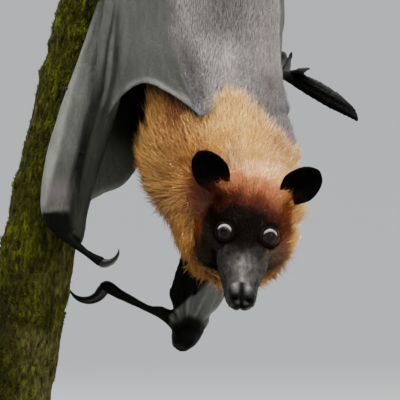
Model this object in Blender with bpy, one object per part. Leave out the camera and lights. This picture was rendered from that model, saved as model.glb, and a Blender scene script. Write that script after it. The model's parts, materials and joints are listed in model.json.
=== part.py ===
"""A life-size fruit bat that hangs head down on a cut length of branch, on a plain display stand.

Every place below is in millimetres in the part's own frame: +Z up, the origin at the middle of the base's
underside, the bat's back towards -Y. The solids reach out to the tips of the coat. Each is one closed body,
and neighbours keep a gap of GAP between their faces.
"""

import math

import bmesh
import bpy
import numpy as np
from mathutils import Matrix, Vector, noise

MM = 0.001
GAP = 0.3

# Directions of the body: it hangs head down, turned so that its right flank comes forward.
BODY_YAW = math.radians(23)
RIGHT = Vector((-math.cos(BODY_YAW), -math.sin(BODY_YAW), 0))

# Directions of the head: the snout points down and back over the shoulders, a little rolled.
HEAD_ROLL = math.radians(9)
SNOUT_DROP = math.radians(52)
HEAD_RIGHT = Vector((-math.cos(HEAD_ROLL), 0, math.sin(HEAD_ROLL)))
SNOUT = Vector(
    (
        -math.sin(HEAD_ROLL) * math.sin(SNOUT_DROP),
        -math.cos(SNOUT_DROP),
        -math.cos(HEAD_ROLL) * math.sin(SNOUT_DROP),
    )
)
CROWN = HEAD_RIGHT.cross(SNOUT)
EYES_MIDDLE = Vector((45.6, -41.6, 145.7))

# Head sizes, along SNOUT, CROWN and HEAD_RIGHT from the point midway between the eyes.
EYE_RADIUS = 5.2
EYE_PLACE = (1.9, 1.8, 9.6)
GAZE = (0.62, 0.72, 0.30)
EAR_BASE = (-20.5, 9.4, 17.3)
EAR_TIP = (-23.6, 22.6, 26.6)
EAR_WIDTH = 15.0
EAR_THICK = 1.3

# Planes that part the head from the neck and the neck from the trunk: a point and the way down.
HEAD_CUT = ((45.0, -31.0, 176.0), (0.0, -0.70, -0.714))
NECK_CUT = ((32.0, -14.0, 197.0), (0.12, 0.10, -0.99))

# Arm and leg joints.
SHOULDER_R = (18.0, -29.0, 203.0)
ELBOW_R = (-6.0, -20.0, 296.0)
WRIST_R = (-31.0, -14.0, 146.0)
SHOULDER_L = (57.0, -9.0, 198.0)
ELBOW_L = (50.0, 80.0, 236.0)
WRIST_L = (18.5, 30.0, 99.0)
HIP_R = (15.4, -16.8, 314.0)
KNEE_R = (-3.0, -26.0, 360.0)
ANKLE_R = (-4.0, 2.0, 412.0)
HIP_L = (35.6, -8.2, 314.0)
KNEE_L = (46.0, -20.0, 362.0)
ANKLE_L = (22.0, 5.0, 416.0)
KNUCKLE_L = (62.0, 84.0, 176.0)
FINGER_BEND_L = (54.0, 88.0, 226.0)
WING_TIP_L = (95.8, 5.0, 196.2)
FOURTH_TIP_L = (66.8, 18.0, 228.5)

# Each leg: hip, knee, ankle, and the foot's angle round the branch from the viewer's side.
LEGS = {
    "right": (HIP_R, KNEE_R, ANKLE_R, -0.58),
    "left": (HIP_L, KNEE_L, ANKLE_L, 0.86),
}

# Thickness of the wings' skins, and the edges of the left one: its front edge from throat to wrist, and its
# seam down the flank and leg with the free edge that it spans to.
SHEET = 1.1
FRONT_EDGE_L = [(32, 4, 184), (25, 15, 158), (17.5, 23, 138), (12.5, 27.5, 118), (13.5, 29, 108)]
FLANK_LINE_L = [(60, -10, 210), (60, -12, 250), (54, -12, 290), (45, -12, 320), (45, -18, 360), (24, 3, 410)]
WING_EDGE_L = [(50, 77, 239), (50, 67, 262), (46, 53, 290), (37, 32, 330), (28, 14, 375), (23, 6, 412)]

# Stand.
BASE_WIDTH = 220.0
BASE_DEPTH = 170.0
BASE_HEIGHT = 16.0
BASE_CORNER = 40.0
BASE_BEVEL = 3.0
ROD_RADIUS = 6.0
PERCH_FOOT = 50.0
PERCH_TOP = 466.0

# The branch's centre line and radius at some heights: z, x, y, radius.
PERCH_LINE = [
    (PERCH_FOOT, -64.5, 2.0, 20.0),
    (95.0, -56.5, 2.0, 18.6),
    (139.0, -47.6, 2.0, 16.6),
    (200.0, -36.2, 6.0, 13.8),
    (250.0, -26.8, 12.0, 12.4),
    (300.0, -17.6, 17.0, 12.0),
    (350.0, -8.3, 20.0, 11.6),
    (433.0, 7.4, 22.0, 11.0),
    (PERCH_TOP, 13.6, 23.0, 10.8),
]


def clear_scene():
    """Removes every object, so that only the model is left."""
    for obj in list(bpy.data.objects):
        bpy.data.objects.remove(obj)


def material(name, colour, roughness, metallic=0.0):
    """A Principled material in one colour."""
    made = bpy.data.materials.new(name)
    made.use_nodes = True
    shader = made.node_tree.nodes["Principled BSDF"]
    shader.inputs["Base Color"].default_value = (*colour, 1.0)
    shader.inputs["Roughness"].default_value = roughness
    shader.inputs["Metallic"].default_value = metallic
    return made


def smooth_rows(rows, count):
    """Rows of numbers, interpolated by a Catmull-Rom curve to count rows."""
    rows = np.asarray(rows, float)
    padded = np.vstack([2 * rows[0] - rows[1], rows, 2 * rows[-1] - rows[-2]])
    made = []
    for place in np.linspace(0, len(rows) - 1, count):
        k = min(int(place), len(rows) - 2)
        t = place - k
        before, start, end, after = padded[k : k + 4]
        made.append(
            start
            + 0.5 * t * (end - before)
            + 0.5 * t**2 * (2 * before - 5 * start + 4 * end - after)
            + 0.5 * t**3 * (3 * start - before - 3 * end + after)
        )
    return np.array(made)


def head_place(forward, up, right):
    """A point of the head from the point midway between the eyes; the muzzle swings a little to the bat's left."""
    swing = 2.3 * max(0.0, (forward - 14.0) / 22.0) ** 1.4
    return EYES_MIDDLE + SNOUT * forward + CROWN * up + HEAD_RIGHT * (right - swing)


def new_object(name, bm, look=None):
    """A mesh object in metres from a bmesh in millimetres."""
    bmesh.ops.recalc_face_normals(bm, faces=bm.faces)
    bmesh.ops.scale(bm, vec=(MM, MM, MM), verts=bm.verts)
    mesh = bpy.data.meshes.new(name)
    bm.to_mesh(mesh)
    bm.free()
    obj = bpy.data.objects.new(name, mesh)
    bpy.context.scene.collection.objects.link(obj)
    if look:
        mesh.materials.append(look)
    return obj


def add_loft(bm, stations, side, rings, segments=12):
    """Adds a closed tube of elliptical rings.

    A station is x, y, z, the half-width along side and the half-depth across it.
    """
    path = smooth_rows(stations, rings)
    side = Vector(side)
    loops = []
    for i, row in enumerate(path):
        ahead = Vector(path[min(i + 1, rings - 1)][:3])
        behind = Vector(path[max(i - 1, 0)][:3])
        along = (ahead - behind).normalized()
        across = (side - along * along.dot(side)).normalized()
        over = along.cross(across)
        frame = Matrix((across * row[3], over * row[4], along)).transposed().to_4x4()
        frame.translation = Vector(row[:3])
        ring = bmesh.ops.create_circle(bm, segments=segments, radius=1.0, matrix=frame)["verts"]
        loops.append(ring)
    for first, second in zip(loops, loops[1:]):
        edges = {e for v in first for e in v.link_edges if e.other_vert(v) in first}
        edges |= {e for v in second for e in v.link_edges if e.other_vert(v) in second}
        bmesh.ops.bridge_loops(bm, edges=list(edges))
    bm.faces.new(loops[0])
    bm.faces.new(loops[-1])


def add_ball(bm, centre, radii, axes=None, detail=3):
    """Adds an ellipsoid, with its radii along the three axes."""
    axes = axes or (Vector((1, 0, 0)), Vector((0, 1, 0)), Vector((0, 0, 1)))
    frame = Matrix([a * r for a, r in zip(axes, radii)]).transposed().to_4x4()
    frame.translation = Vector(centre)
    bmesh.ops.create_icosphere(bm, subdivisions=detail, radius=1.0, matrix=frame)


def loft_object(name, stations, side, rings, segments, look):
    """A single loft as its own object."""
    bm = bmesh.new()
    add_loft(bm, stations, side, rings, segments)
    return new_object(name, bm, look)


def sheet_object(name, rows, across, along, thickness, look):
    """A smooth sheet through a net of points, thickened. rows is a list of rows of (x, y, z)."""
    net = np.array([smooth_rows(row, across + 1) for row in rows])
    net = np.array([smooth_rows(net[:, k], along + 1) for k in range(across + 1)])
    bm = bmesh.new()
    bmesh.ops.create_grid(bm, x_segments=across, y_segments=along, size=0.5)
    for vert in bm.verts:
        k = round((vert.co.x + 0.5) * across)
        j = round((vert.co.y + 0.5) * along)
        vert.co = Vector(net[k, j])
    obj = new_object(name, bm, look)
    wall = obj.modifiers.new("wall", "SOLIDIFY")
    wall.thickness = thickness * MM
    wall.offset = 0.0
    apply_modifiers(obj)
    bm = bmesh.new()
    bm.from_mesh(obj.data)
    bmesh.ops.recalc_face_normals(bm, faces=bm.faces)
    bm.to_mesh(obj.data)
    bm.free()
    return obj


def apply_modifiers(obj):
    """Replaces the object's mesh by what its modifiers make of it."""
    graph = bpy.context.evaluated_depsgraph_get()
    made = bpy.data.meshes.new_from_object(obj.evaluated_get(graph), depsgraph=graph)
    obj.modifiers.clear()
    obj.data = made


def melt(obj, voxel, smoothing, triangles):
    """Makes overlapping shapes one smooth closed skin of about so many triangles."""
    skin = obj.modifiers.new("skin", "REMESH")
    skin.mode = "VOXEL"
    skin.voxel_size = voxel * MM
    soft = obj.modifiers.new("soft", "SMOOTH")
    soft.factor = 0.5
    soft.iterations = smoothing
    apply_modifiers(obj)
    obj.data.calc_loop_triangles()
    fewer = obj.modifiers.new("fewer", "DECIMATE")
    fewer.ratio = min(1.0, triangles / len(obj.data.loop_triangles))
    apply_modifiers(obj)


def grown(obj, by):
    """A copy of the object's mesh with every face moved out by that many millimetres, hidden in renders."""
    bm = bmesh.new()
    bm.from_mesh(obj.data)
    bm.normal_update()
    moves = []
    for vert in bm.verts:
        moves.append(vert.normal * by * MM * min(vert.calc_shell_factor(), 1.6))
    for vert, move in zip(bm.verts, moves):
        vert.co += move
    mesh = bpy.data.meshes.new(obj.name + "_room")
    bm.to_mesh(mesh)
    bm.free()
    room = bpy.data.objects.new(obj.name + "_room", mesh)
    room.hide_render = True
    room.display_type = "WIRE"
    bpy.context.scene.collection.objects.link(room)
    return room


def keep_largest(obj):
    """Drops all but the largest body of a mesh: the faces that share edges, one with the next."""
    bm = bmesh.new()
    bm.from_mesh(obj.data)
    left = set(bm.faces)
    groups = []
    while left:
        group = [left.pop()]
        for face in group:
            edges = [edge for edge in face.edges if len(edge.link_faces) == 2]
            near = {other for edge in edges for other in edge.link_faces} & left
            left -= near
            group += near
        groups.append(group)
    groups.sort(key=len)
    scraps = [face for group in groups[:-1] for face in group]
    bmesh.ops.delete(bm, geom=scraps, context="FACES")
    loose = [vert for vert in bm.verts if not vert.link_faces]
    bmesh.ops.delete(bm, geom=loose, context="VERTS")
    bm.to_mesh(obj.data)
    bm.free()


def carve(obj, *others, gap=GAP):
    """Cuts away what of obj lies in the others or within the gap round them."""
    rooms = [grown(other, gap) for other in others]
    for room in rooms:
        cut = obj.modifiers.new("room", "BOOLEAN")
        cut.operation = "DIFFERENCE"
        cut.solver = "EXACT"
        cut.object = room
    apply_modifiers(obj)
    for room in rooms:
        bpy.data.objects.remove(room)
    keep_largest(obj)


def slice_of(whole, name, planes, look):
    """The part of a whole on the near side of each plane. A plane is (point in mm, normal)."""
    bm = bmesh.new()
    bm.from_mesh(whole.data)
    for point, normal in planes:
        geometry = bm.verts[:] + bm.edges[:] + bm.faces[:]
        middle = (Vector(point) + Vector(normal) * GAP / 2) * MM
        cut = bmesh.ops.bisect_plane(
            bm,
            geom=geometry,
            dist=1e-7,
            plane_co=middle,
            plane_no=normal,
            clear_inner=True,
        )["geom_cut"]
        rim = [g for g in cut if isinstance(g, bmesh.types.BMEdge)]
        bmesh.ops.holes_fill(bm, edges=rim, sides=0)
    bmesh.ops.triangulate(bm, faces=bm.faces)
    mesh = bpy.data.meshes.new(name)
    bm.to_mesh(mesh)
    bm.free()
    mesh.materials.clear()
    mesh.materials.append(look)
    obj = bpy.data.objects.new(name, mesh)
    bpy.context.scene.collection.objects.link(obj)
    keep_largest(obj)
    return obj


def shade(obj, angle=40):
    """Shades the object smooth, with sharp edges past the angle."""
    obj.data.shade_smooth()
    obj.data.set_sharp_from_angle(angle=math.radians(angle))


LOOKS = {
    "mantle": material("mantle_fur", (0.72, 0.50, 0.26), 0.9),
    "back": material("back_fur", (0.30, 0.28, 0.28), 0.9),
    "face": material("face_fur", (0.16, 0.10, 0.08), 0.85),
    "wing": material("wing_skin", (0.24, 0.24, 0.24), 0.5),
    "dark_skin": material("dark_skin", (0.03, 0.03, 0.03), 0.45),
    "eye": material("eye", (0.09, 0.06, 0.04), 0.1),
    "claw": material("claw_horn", (0.04, 0.035, 0.03), 0.3),
    "bark": material("mossy_bark", (0.14, 0.15, 0.06), 0.95),
    "stand_wood": material("stand_wood", (0.12, 0.07, 0.04), 0.45),
    "stand_steel": material("stand_steel", (0.6, 0.6, 0.6), 0.3, 1.0),
}


def body_whole():
    """Head, neck and trunk as one skin, out to the tips of the coat."""
    bm = bmesh.new()
    # Trunk: z, x, y of the centre line, half-width, half-depth.
    trunk = [
        (172.0, 37.0, -11.0, 24.0, 19.0),
        (186.0, 33.5, -12.0, 33.0, 26.0),
        (203.0, 32.5, -13.5, 32.5, 26.5),
        (225.0, 32.2, -13.5, 30.0, 26.0),
        (250.0, 31.8, -14.0, 30.0, 25.5),
        (280.0, 29.5, -14.0, 28.0, 24.5),
        (304.0, 27.5, -13.0, 24.0, 21.5),
        (324.0, 25.0, -12.0, 18.0, 16.0),
        (338.0, 23.0, -11.0, 9.0, 8.5),
        (342.0, 22.5, -11.0, 3.0, 3.0),
    ]
    add_loft(bm, [(x, y, z, a, b) for z, x, y, a, b in trunk], RIGHT, 26, 28)
    # Ruff: the neck's and throat's long fur, hanging behind the head.
    ruff = [
        (206.0, 28.0, -14.0, 20.0, 16.0),
        (192.0, 30.0, -12.0, 34.0, 27.0),
        (176.0, 34.5, -10.0, 35.5, 25.5),
        (160.0, 38.5, -12.0, 30.5, 23.5),
        (144.0, 41.0, -17.0, 26.5, 21.0),
        (131.0, 41.5, -21.0, 19.5, 16.0),
        (123.0, 41.5, -23.0, 9.0, 8.0),
    ]
    add_loft(bm, [(x, y, z, a, b) for z, x, y, a, b in ruff], (1, 0, 0), 20, 28)
    # Head: forward, up of the middle, half-width, half-height.
    head = [
        (35.3, -5.6, 2.4, 2.2),
        (33.6, -6.0, 5.9, 4.2),
        (29.5, -7.0, 7.1, 5.9),
        (22.0, -7.6, 8.1, 7.3),
        (13.0, -7.2, 10.6, 9.2),
        (5.0, -5.8, 12.8, 11.4),
        (-5.0, -4.6, 17.6, 14.4),
        (-16.0, -3.6, 21.0, 16.6),
        (-27.0, -3.8, 20.4, 16.6),
        (-38.0, -6.0, 15.0, 13.0),
        (-43.0, -7.0, 6.0, 6.0),
    ]
    rows = [(*head_place(f, u, 0), a, b) for f, u, a, b in head]
    add_loft(bm, rows, HEAD_RIGHT, 30, 24)
    axes = (SNOUT, CROWN, HEAD_RIGHT)
    for side in (-1, 1):
        # Brow over each eye, cheek below it, jaw muscle behind, and the nostril's tube.
        add_ball(bm, head_place(-6, 4.4, 7.8 * side), (7.0, 5.2, 6.0), axes)
        add_ball(bm, head_place(-8, -7.0, 12.5 * side), (12.0, 9.5, 9.0), axes)
        add_ball(bm, head_place(-18, -6.0, 13.0 * side), (10.0, 11.0, 10.0), axes)
        add_ball(bm, head_place(32.3, -5.4, 3.6 * side), (3.4, 3.1, 3.0), axes)
    # Lower jaw and chin.
    jaw = [
        (28.8, -12.2, 3.2, 2.2),
        (25.0, -12.9, 4.8, 3.4),
        (16.0, -14.0, 7.0, 5.0),
        (4.0, -15.4, 9.6, 6.5),
        (-8.0, -16.5, 12.5, 7.5),
    ]
    rows = [(*head_place(f, u, 0), a, b) for f, u, a, b in jaw]
    add_loft(bm, rows, HEAD_RIGHT, 14, 20)
    whole = new_object("body_whole", bm)
    melt(whole, 1.15, 5, 1900)
    return whole


def eye(name, side):
    """An eyeball, set in its socket."""
    bm = bmesh.new()
    forward, up, right = EYE_PLACE
    add_ball(bm, head_place(forward, up, right * side), (EYE_RADIUS,) * 3, detail=2)
    obj = new_object(name, bm, LOOKS["eye"])
    shade(obj)
    return obj


def socket(side):
    """A hidden cutter for the opening between the lids, in front of the eyeball."""
    bm = bmesh.new()
    forward, up, right = EYE_PLACE
    ahead, lift, out = GAZE
    gaze = SNOUT * ahead + CROWN * lift + HEAD_RIGHT * out * side
    centre = head_place(forward, up, right * side) + gaze * 4.6
    add_ball(bm, centre, (4.3,) * 3, detail=2)
    obj = new_object("socket", bm)
    obj.hide_render = True
    obj.display_type = "WIRE"
    return obj


def ear(name, side, whole):
    """A thin cupped leaf of an ear, open towards the snout and a little outwards."""
    base = head_place(*EAR_BASE[:2], EAR_BASE[2] * side)
    reach = head_place(*EAR_TIP[:2], EAR_TIP[2] * side) - base
    length = reach.length
    tip = reach.normalized()
    mouth = SNOUT * 0.80 + CROWN * 0.45 - HEAD_RIGHT * side * 0.10
    mouth = (mouth - tip * mouth.dot(tip)).normalized()
    across = tip.cross(mouth)
    rows = []
    for v in np.linspace(-1, 1, 7):
        row = []
        for t in np.linspace(0, 1, 8):
            flare = 0.58 + 0.42 * math.sin(math.pi / 2 * min(1.0, t / 0.45))
            outline = max(0.12, flare * math.sqrt(1 - t**3))
            half = EAR_WIDTH / 2 * outline
            cup = EAR_WIDTH * 0.36 * (1 - v * v) * (1 - 0.6 * t) * outline
            row.append(base + tip * ((length + 3) * t - 3) + across * half * v - mouth * (cup - 1.5))
        rows.append(row)
    obj = sheet_object(name, rows, 6, 5, EAR_THICK, LOOKS["dark_skin"])
    carve(obj, whole)
    shade(obj)
    return obj


def limb(name, stations, side, look, *others, rings=16, segments=12):
    """A bone and its flesh as a tube, cut clear of the others."""
    obj = loft_object(name, stations, side, rings, segments, look)
    carve(obj, *others)
    shade(obj)
    return obj


def between(start, end, share, *offset):
    """A point at that share of the way from start to end, moved by the offset."""
    place = Vector(start).lerp(Vector(end), share)
    return tuple(place + Vector(offset or (0, 0, 0)))


def claw(name, base, along, curl, length, radius, *others):
    """A curved horn claw: it starts along one direction and curls towards another."""
    along = Vector(along).normalized()
    curl = Vector(curl)
    curl = (curl - along * along.dot(curl)).normalized()
    stations = []
    steps = 6
    bend = math.radians(100)
    place = Vector(base)
    for j in range(steps):
        t = j / (steps - 1)
        turn = bend * t
        stations.append((*place, radius * (1 - 0.9 * t**1.3), radius * 1.25 * (1 - 0.9 * t**1.3)))
        place = place + (along * math.cos(turn) + curl * math.sin(turn)) * length / (steps - 1)
    obj = loft_object(name, stations, along.cross(curl), 6, 5, LOOKS["claw"])
    if others:
        carve(obj, *others)
    shade(obj, 60)
    return obj


def perch():
    """The cut length of branch: a rough, slightly bent tube."""
    stations = [(x, y, z, r, r) for z, x, y, r in PERCH_LINE]
    bm = bmesh.new()
    add_loft(bm, stations, (1, 0, 0), 18, 12)
    line = smooth_rows([(x, y, z) for z, x, y, r in PERCH_LINE], 60)
    for vert in bm.verts:
        centre = Vector(line[np.argmin(abs(line[:, 2] - vert.co.z))])
        out = vert.co - centre
        out.z = 0
        inside = PERCH_FOOT + 1 < vert.co.z < PERCH_TOP - 1
        rough = noise.noise(vert.co * 0.045) * 1.5 + noise.noise(vert.co * 0.13) * 0.8
        if inside and out.length > 1:
            vert.co += out.normalized() * rough
        if not inside:
            vert.co.z = PERCH_FOOT if vert.co.z < PERCH_FOOT + 10 else PERCH_TOP
    bmesh.ops.triangulate(bm, faces=bm.faces)
    obj = new_object("perch", bm, LOOKS["bark"])
    shade(obj, 50)
    return obj


def perch_place(z, angle, out):
    """A point outside the branch at a height, at an angle from the viewer's side round to the bat's left."""
    line = np.array(PERCH_LINE)
    x, y, r = (np.interp(z, line[:, 0], line[:, k]) for k in (1, 2, 3))
    return Vector((x + (r + out) * math.sin(angle), y - (r + out) * math.cos(angle), z))


def stand():
    """The flat wooden base and the short steel rod that carries the branch."""
    bm = bmesh.new()
    half_w, half_d = BASE_WIDTH / 2, BASE_DEPTH / 2
    bmesh.ops.create_cube(bm, size=1.0)
    bmesh.ops.scale(bm, vec=(BASE_WIDTH, BASE_DEPTH, BASE_HEIGHT), verts=bm.verts)
    bmesh.ops.translate(bm, vec=(0, 0, BASE_HEIGHT / 2), verts=bm.verts)
    upright = [e for e in bm.edges if abs(e.verts[0].co.z - e.verts[1].co.z) > 1]
    bmesh.ops.bevel(
        bm, geom=upright, offset=BASE_CORNER, segments=5, profile=0.5, affect="EDGES", material=-1
    )
    top = [e for e in bm.edges if min(v.co.z for v in e.verts) > BASE_HEIGHT - 0.01]
    bmesh.ops.bevel(
        bm, geom=top, offset=BASE_BEVEL, segments=2, profile=0.5, affect="EDGES", material=-1
    )
    base = new_object("stand_base", bm, LOOKS["stand_wood"])
    shade(base, 35)
    bm = bmesh.new()
    length = PERCH_FOOT - BASE_HEIGHT - 2 * GAP
    foot = PERCH_LINE[0]
    middle = Matrix.Translation((foot[1], foot[2], BASE_HEIGHT + GAP + length / 2))
    bmesh.ops.create_cone(
        bm,
        cap_ends=True,
        segments=16,
        radius1=ROD_RADIUS,
        radius2=ROD_RADIUS,
        depth=length,
        matrix=middle,
    )
    shade(new_object("stand_rod", bm, LOOKS["stand_steel"]), 35)


LEG_PARTS = {}


def legs(whole, branch):
    """Thighs, shanks and feet, with the toes' claws in the bark."""
    for name, (hip, knee, ankle, around) in LEGS.items():
        thigh = limb(
            f"thigh_{name}",
            [
                (*hip, 10.0, 9.0),
                (*between(hip, knee, 0.4), 8.2, 7.6),
                (*between(hip, knee, 0.8), 5.6, 5.6),
                (*between(hip, knee, 0.99), 5.0, 5.0),
            ],
            RIGHT,
            LOOKS["back"],
            whole,
            rings=7,
            segments=9,
        )
        shank = limb(
            f"shank_{name}",
            [
                (*between(knee, ankle, -0.04), 4.0, 4.0),
                (*between(knee, ankle, 0.06), 5.2, 5.0),
                (*between(knee, ankle, 0.35), 4.2, 4.2),
                (*between(knee, ankle, 0.8), 2.8, 2.8),
                (*between(knee, ankle, 1.0), 3.0, 2.8),
            ],
            RIGHT,
            LOOKS["back"],
            thigh,
            branch,
            rings=8,
            segments=8,
        )
        LEG_PARTS[name] = [thigh, shank, foot(name, Vector(ankle), around, shank, branch)]


def foot(name, ankle, around, shank, branch):
    """A foot laid along the bark: the sole, five toes, and their claws as nodes of their own."""
    bm = bmesh.new()
    heel = perch_place(ankle.z + 3, around, 5.0)
    ball = perch_place(ankle.z + 14, around, 4.2)
    beside = (ball - heel).cross(perch_place(ankle.z, around, 1) - perch_place(ankle.z, around, 0))
    add_loft(
        bm,
        [
            (*ankle.lerp(heel, -0.1), 2.6, 2.6),
            (*ankle.lerp(heel, 0.6), 4.0, 3.2),
            (*heel.lerp(ball, 0.5), 5.2, 3.2),
            (*ball, 5.8, 3.0),
            (*(ball + (ball - heel) * 0.25), 4.5, 2.2),
        ],
        beside,
        12,
        14,
    )
    tips = []
    for k in range(5):
        spread = (k - 2) / 2
        start = perch_place(ankle.z + 14, around + spread * 0.30, 3.6)
        knuckle = perch_place(ankle.z + 22, around + spread * 0.50, 4.6)
        end = perch_place(ankle.z + 29, around + spread * 0.60, 3.2)
        add_loft(
            bm,
            [
                (*start, 2.1, 2.1),
                (*start.lerp(knuckle, 0.6), 1.9, 1.9),
                (*knuckle, 2.2, 2.2),
                (*knuckle.lerp(end, 0.6), 1.8, 1.8),
                (*end, 1.6, 1.6),
            ],
            beside,
            9,
            8,
        )
        tips.append((k, around + spread * 0.60, end, (end - knuckle).normalized()))
    sole = new_object(f"foot_{name}", bm)
    melt(sole, 0.8, 2, 270)
    sole.data.materials.clear()
    sole.data.materials.append(LOOKS["dark_skin"])
    carve(sole, shank, branch)
    shade(sole)
    for k, angle, end, along in tips:
        inward = perch_place(end.z, angle, 0) - perch_place(end.z, angle, 5)
        claw(f"claw_{name}_toe_{k + 1}", end - along * 0.4, along, inward, 9.5, 1.25, sole, branch)
    return sole


def right_wing(whole, branch):
    """The folded right wing: its elbow up beside the hip, its wrist on the branch, its fingers along it."""
    forearm = limb(
        "forearm_right",
        [
            (*between(ELBOW_R, WRIST_R, -0.01), 6.0, 6.0),
            (-10.3, -19.5, 248.0, 7.2, 6.4),
            (-13.3, -18.5, 229.0, 7.0, 6.0),
            (-16.0, -17.5, 209.0, 6.4, 5.4),
            (-18.8, -17.0, 197.0, 6.0, 4.9),
            (-24.0, -16.5, 177.0, 5.0, 4.4),
            (-29.0, -16.0, 156.0, 4.0, 4.0),
            (-31.0, -16.0, 149.0, 3.4, 3.6),
        ],
        RIGHT,
        LOOKS["wing"],
        whole,
        branch,
        rings=11,
        segments=8,
    )
    upper_arm = limb(
        "upper_arm_right",
        [
            (*SHOULDER_R, 8.0, 6.0),
            (*between(SHOULDER_R, ELBOW_R, 0.3), 7.5, 5.5),
            (*between(SHOULDER_R, ELBOW_R, 0.7), 6.0, 5.0),
            (*between(SHOULDER_R, ELBOW_R, 0.95), 5.0, 4.6),
        ],
        RIGHT,
        LOOKS["back"],
        whole,
        forearm,
        rings=7,
        segments=8,
    )
    hand = limb(
        "hand_right",
        [
            (-35.0, -20.5, 147.0, 5.0, 4.4),
            (-38.2, -21.0, 157.0, 7.8, 5.0),
            (-36.0, -19.0, 177.0, 8.2, 5.0),
            (-30.5, -16.5, 198.0, 7.7, 4.6),
            (-26.5, -13.8, 209.0, 7.9, 4.4),
            (-22.0, -10.5, 226.0, 6.4, 4.2),
            (-16.6, -5.5, 248.0, 4.6, 3.9),
        ],
        RIGHT,
        LOOKS["wing"],
        forearm,
        branch,
        rings=10,
        segments=9,
    )
    fingers = limb(
        "fingers_right",
        [
            (-16.2, -5.2, 249.0, 4.2, 3.6),
            (-12.0, -1.5, 270.0, 3.8, 3.2),
            (-8.2, 1.4, 298.0, 3.2, 2.8),
            (-5.6, 3.0, 318.0, 2.6, 2.4),
        ],
        RIGHT,
        LOOKS["wing"],
        hand,
        forearm,
        whole,
        branch,
        rings=7,
        segments=8,
    )
    tips = limb(
        "wing_tip_right",
        [
            (-4.6, 4.4, 321.0, 2.0, 1.2),
            (-7.0, 5.6, 296.0, 3.6, 1.1),
            (-12.0, 3.4, 262.0, 4.6, 1.1),
            (-17.6, -1.4, 228.0, 4.6, 1.0),
            (-21.6, -5.2, 205.0, 3.0, 0.9),
            (-24.0, -7.2, 190.0, 1.0, 0.7),
        ],
        RIGHT,
        LOOKS["dark_skin"],
        fingers,
        hand,
        forearm,
        whole,
        branch,
        rings=9,
        segments=7,
    )
    thumb = limb(
        "thumb_right",
        [
            (-35.0, -21.5, 146.0, 3.4, 3.2),
            (-30.4, -24.0, 141.6, 2.9, 2.9),
            (-24.0, -27.5, 137.0, 2.2, 2.2),
            (-19.5, -30.0, 134.2, 2.1, 2.1),
            (-16.8, -31.5, 132.8, 2.0, 2.0),
        ],
        (0, 0, 1),
        LOOKS["dark_skin"],
        hand,
        forearm,
        branch,
        rings=8,
        segments=7,
    )
    claw("thumb_claw_right", (-16.9, -31.4, 133.0), (0.9, -0.3, -0.1), (0.2, 0, 1), 11.0, 1.5, thumb)
    claw("index_claw_right", (-33.0, -16.5, 209.0), (-0.5, -0.2, 1.0), (-1.0, 0, 0.2), 5.5, 0.8, hand)
    wrap = [
        [(-17, -21, 198), (-12, -23, 203.5), (-5, -27, 208.5), (2, -33.5, 211)]
        + [(11, -40.5, 208), (19, -43.5, 203), (27, -44, 197)],
        [(-15, -21, 214), (-10, -24, 218), (-4, -28, 221), (3, -34, 222)]
        + [(11, -40, 220), (20, -43, 214), (29, -42, 205)],
        [(-12.5, -22, 232), (-8, -25, 235), (-2, -28.5, 237), (4, -33.5, 238)]
        + [(11, -39, 237), (18, -42, 233), (24.5, -41, 226)],
        [(-10, -22.5, 254), (-6, -25, 256), (-1, -28.5, 257), (4, -33, 257)]
        + [(10, -38, 257), (15, -40.6, 255), (20, -40, 251)],
        [(-7, -23, 286), (-3, -25.5, 288), (1, -28, 289), (5, -31.5, 289)]
        + [(9, -34.5, 288), (13, -36, 286), (17, -36, 283)],
    ]
    front = sheet_object("propatagium_right", wrap, 11, 6, SHEET, LOOKS["wing"])
    carve(front, whole, upper_arm, forearm, hand)
    shade(front)
    cloak = [
        [(-24, -10, 168), (-16, -5, 166.5), (-10, -0.5, 168), (-3, 4.5, 177), (5, 9, 189), (14, 13, 200)],
        [(-15, -3, 205), (-10, 1, 206), (-5, 4, 208), (2, 8, 212), (10, 12, 218), (20, 16, 226)],
        [(-9, 7, 250), (-5, 9, 251), (0, 11, 252), (7, 14, 255), (15, 16, 258), (24, 16, 262)],
        [(-3, 9, 300), (0, 10, 301), (4, 11, 302), (9, 12, 304), (14, 12, 307), (20, 9, 311)],
        [(-4, 5, 345), (-2, 4.5, 345), (0, 3, 345), (2, 1, 344), (4, -2, 343), (6, -6, 342)],
        [(-5, 1, 396), (-4.6, 0, 396), (-4.4, -1, 396), (-4.2, -2, 395), (-4, -3, 394), (-4, -4, 393)],
    ]
    behind = sheet_object("plagiopatagium_right", cloak, 6, 11, SHEET, LOOKS["wing"])
    carve(behind, front, whole, upper_arm, forearm, hand, fingers, tips, branch, *LEG_PARTS["right"])
    shade(behind)


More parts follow.
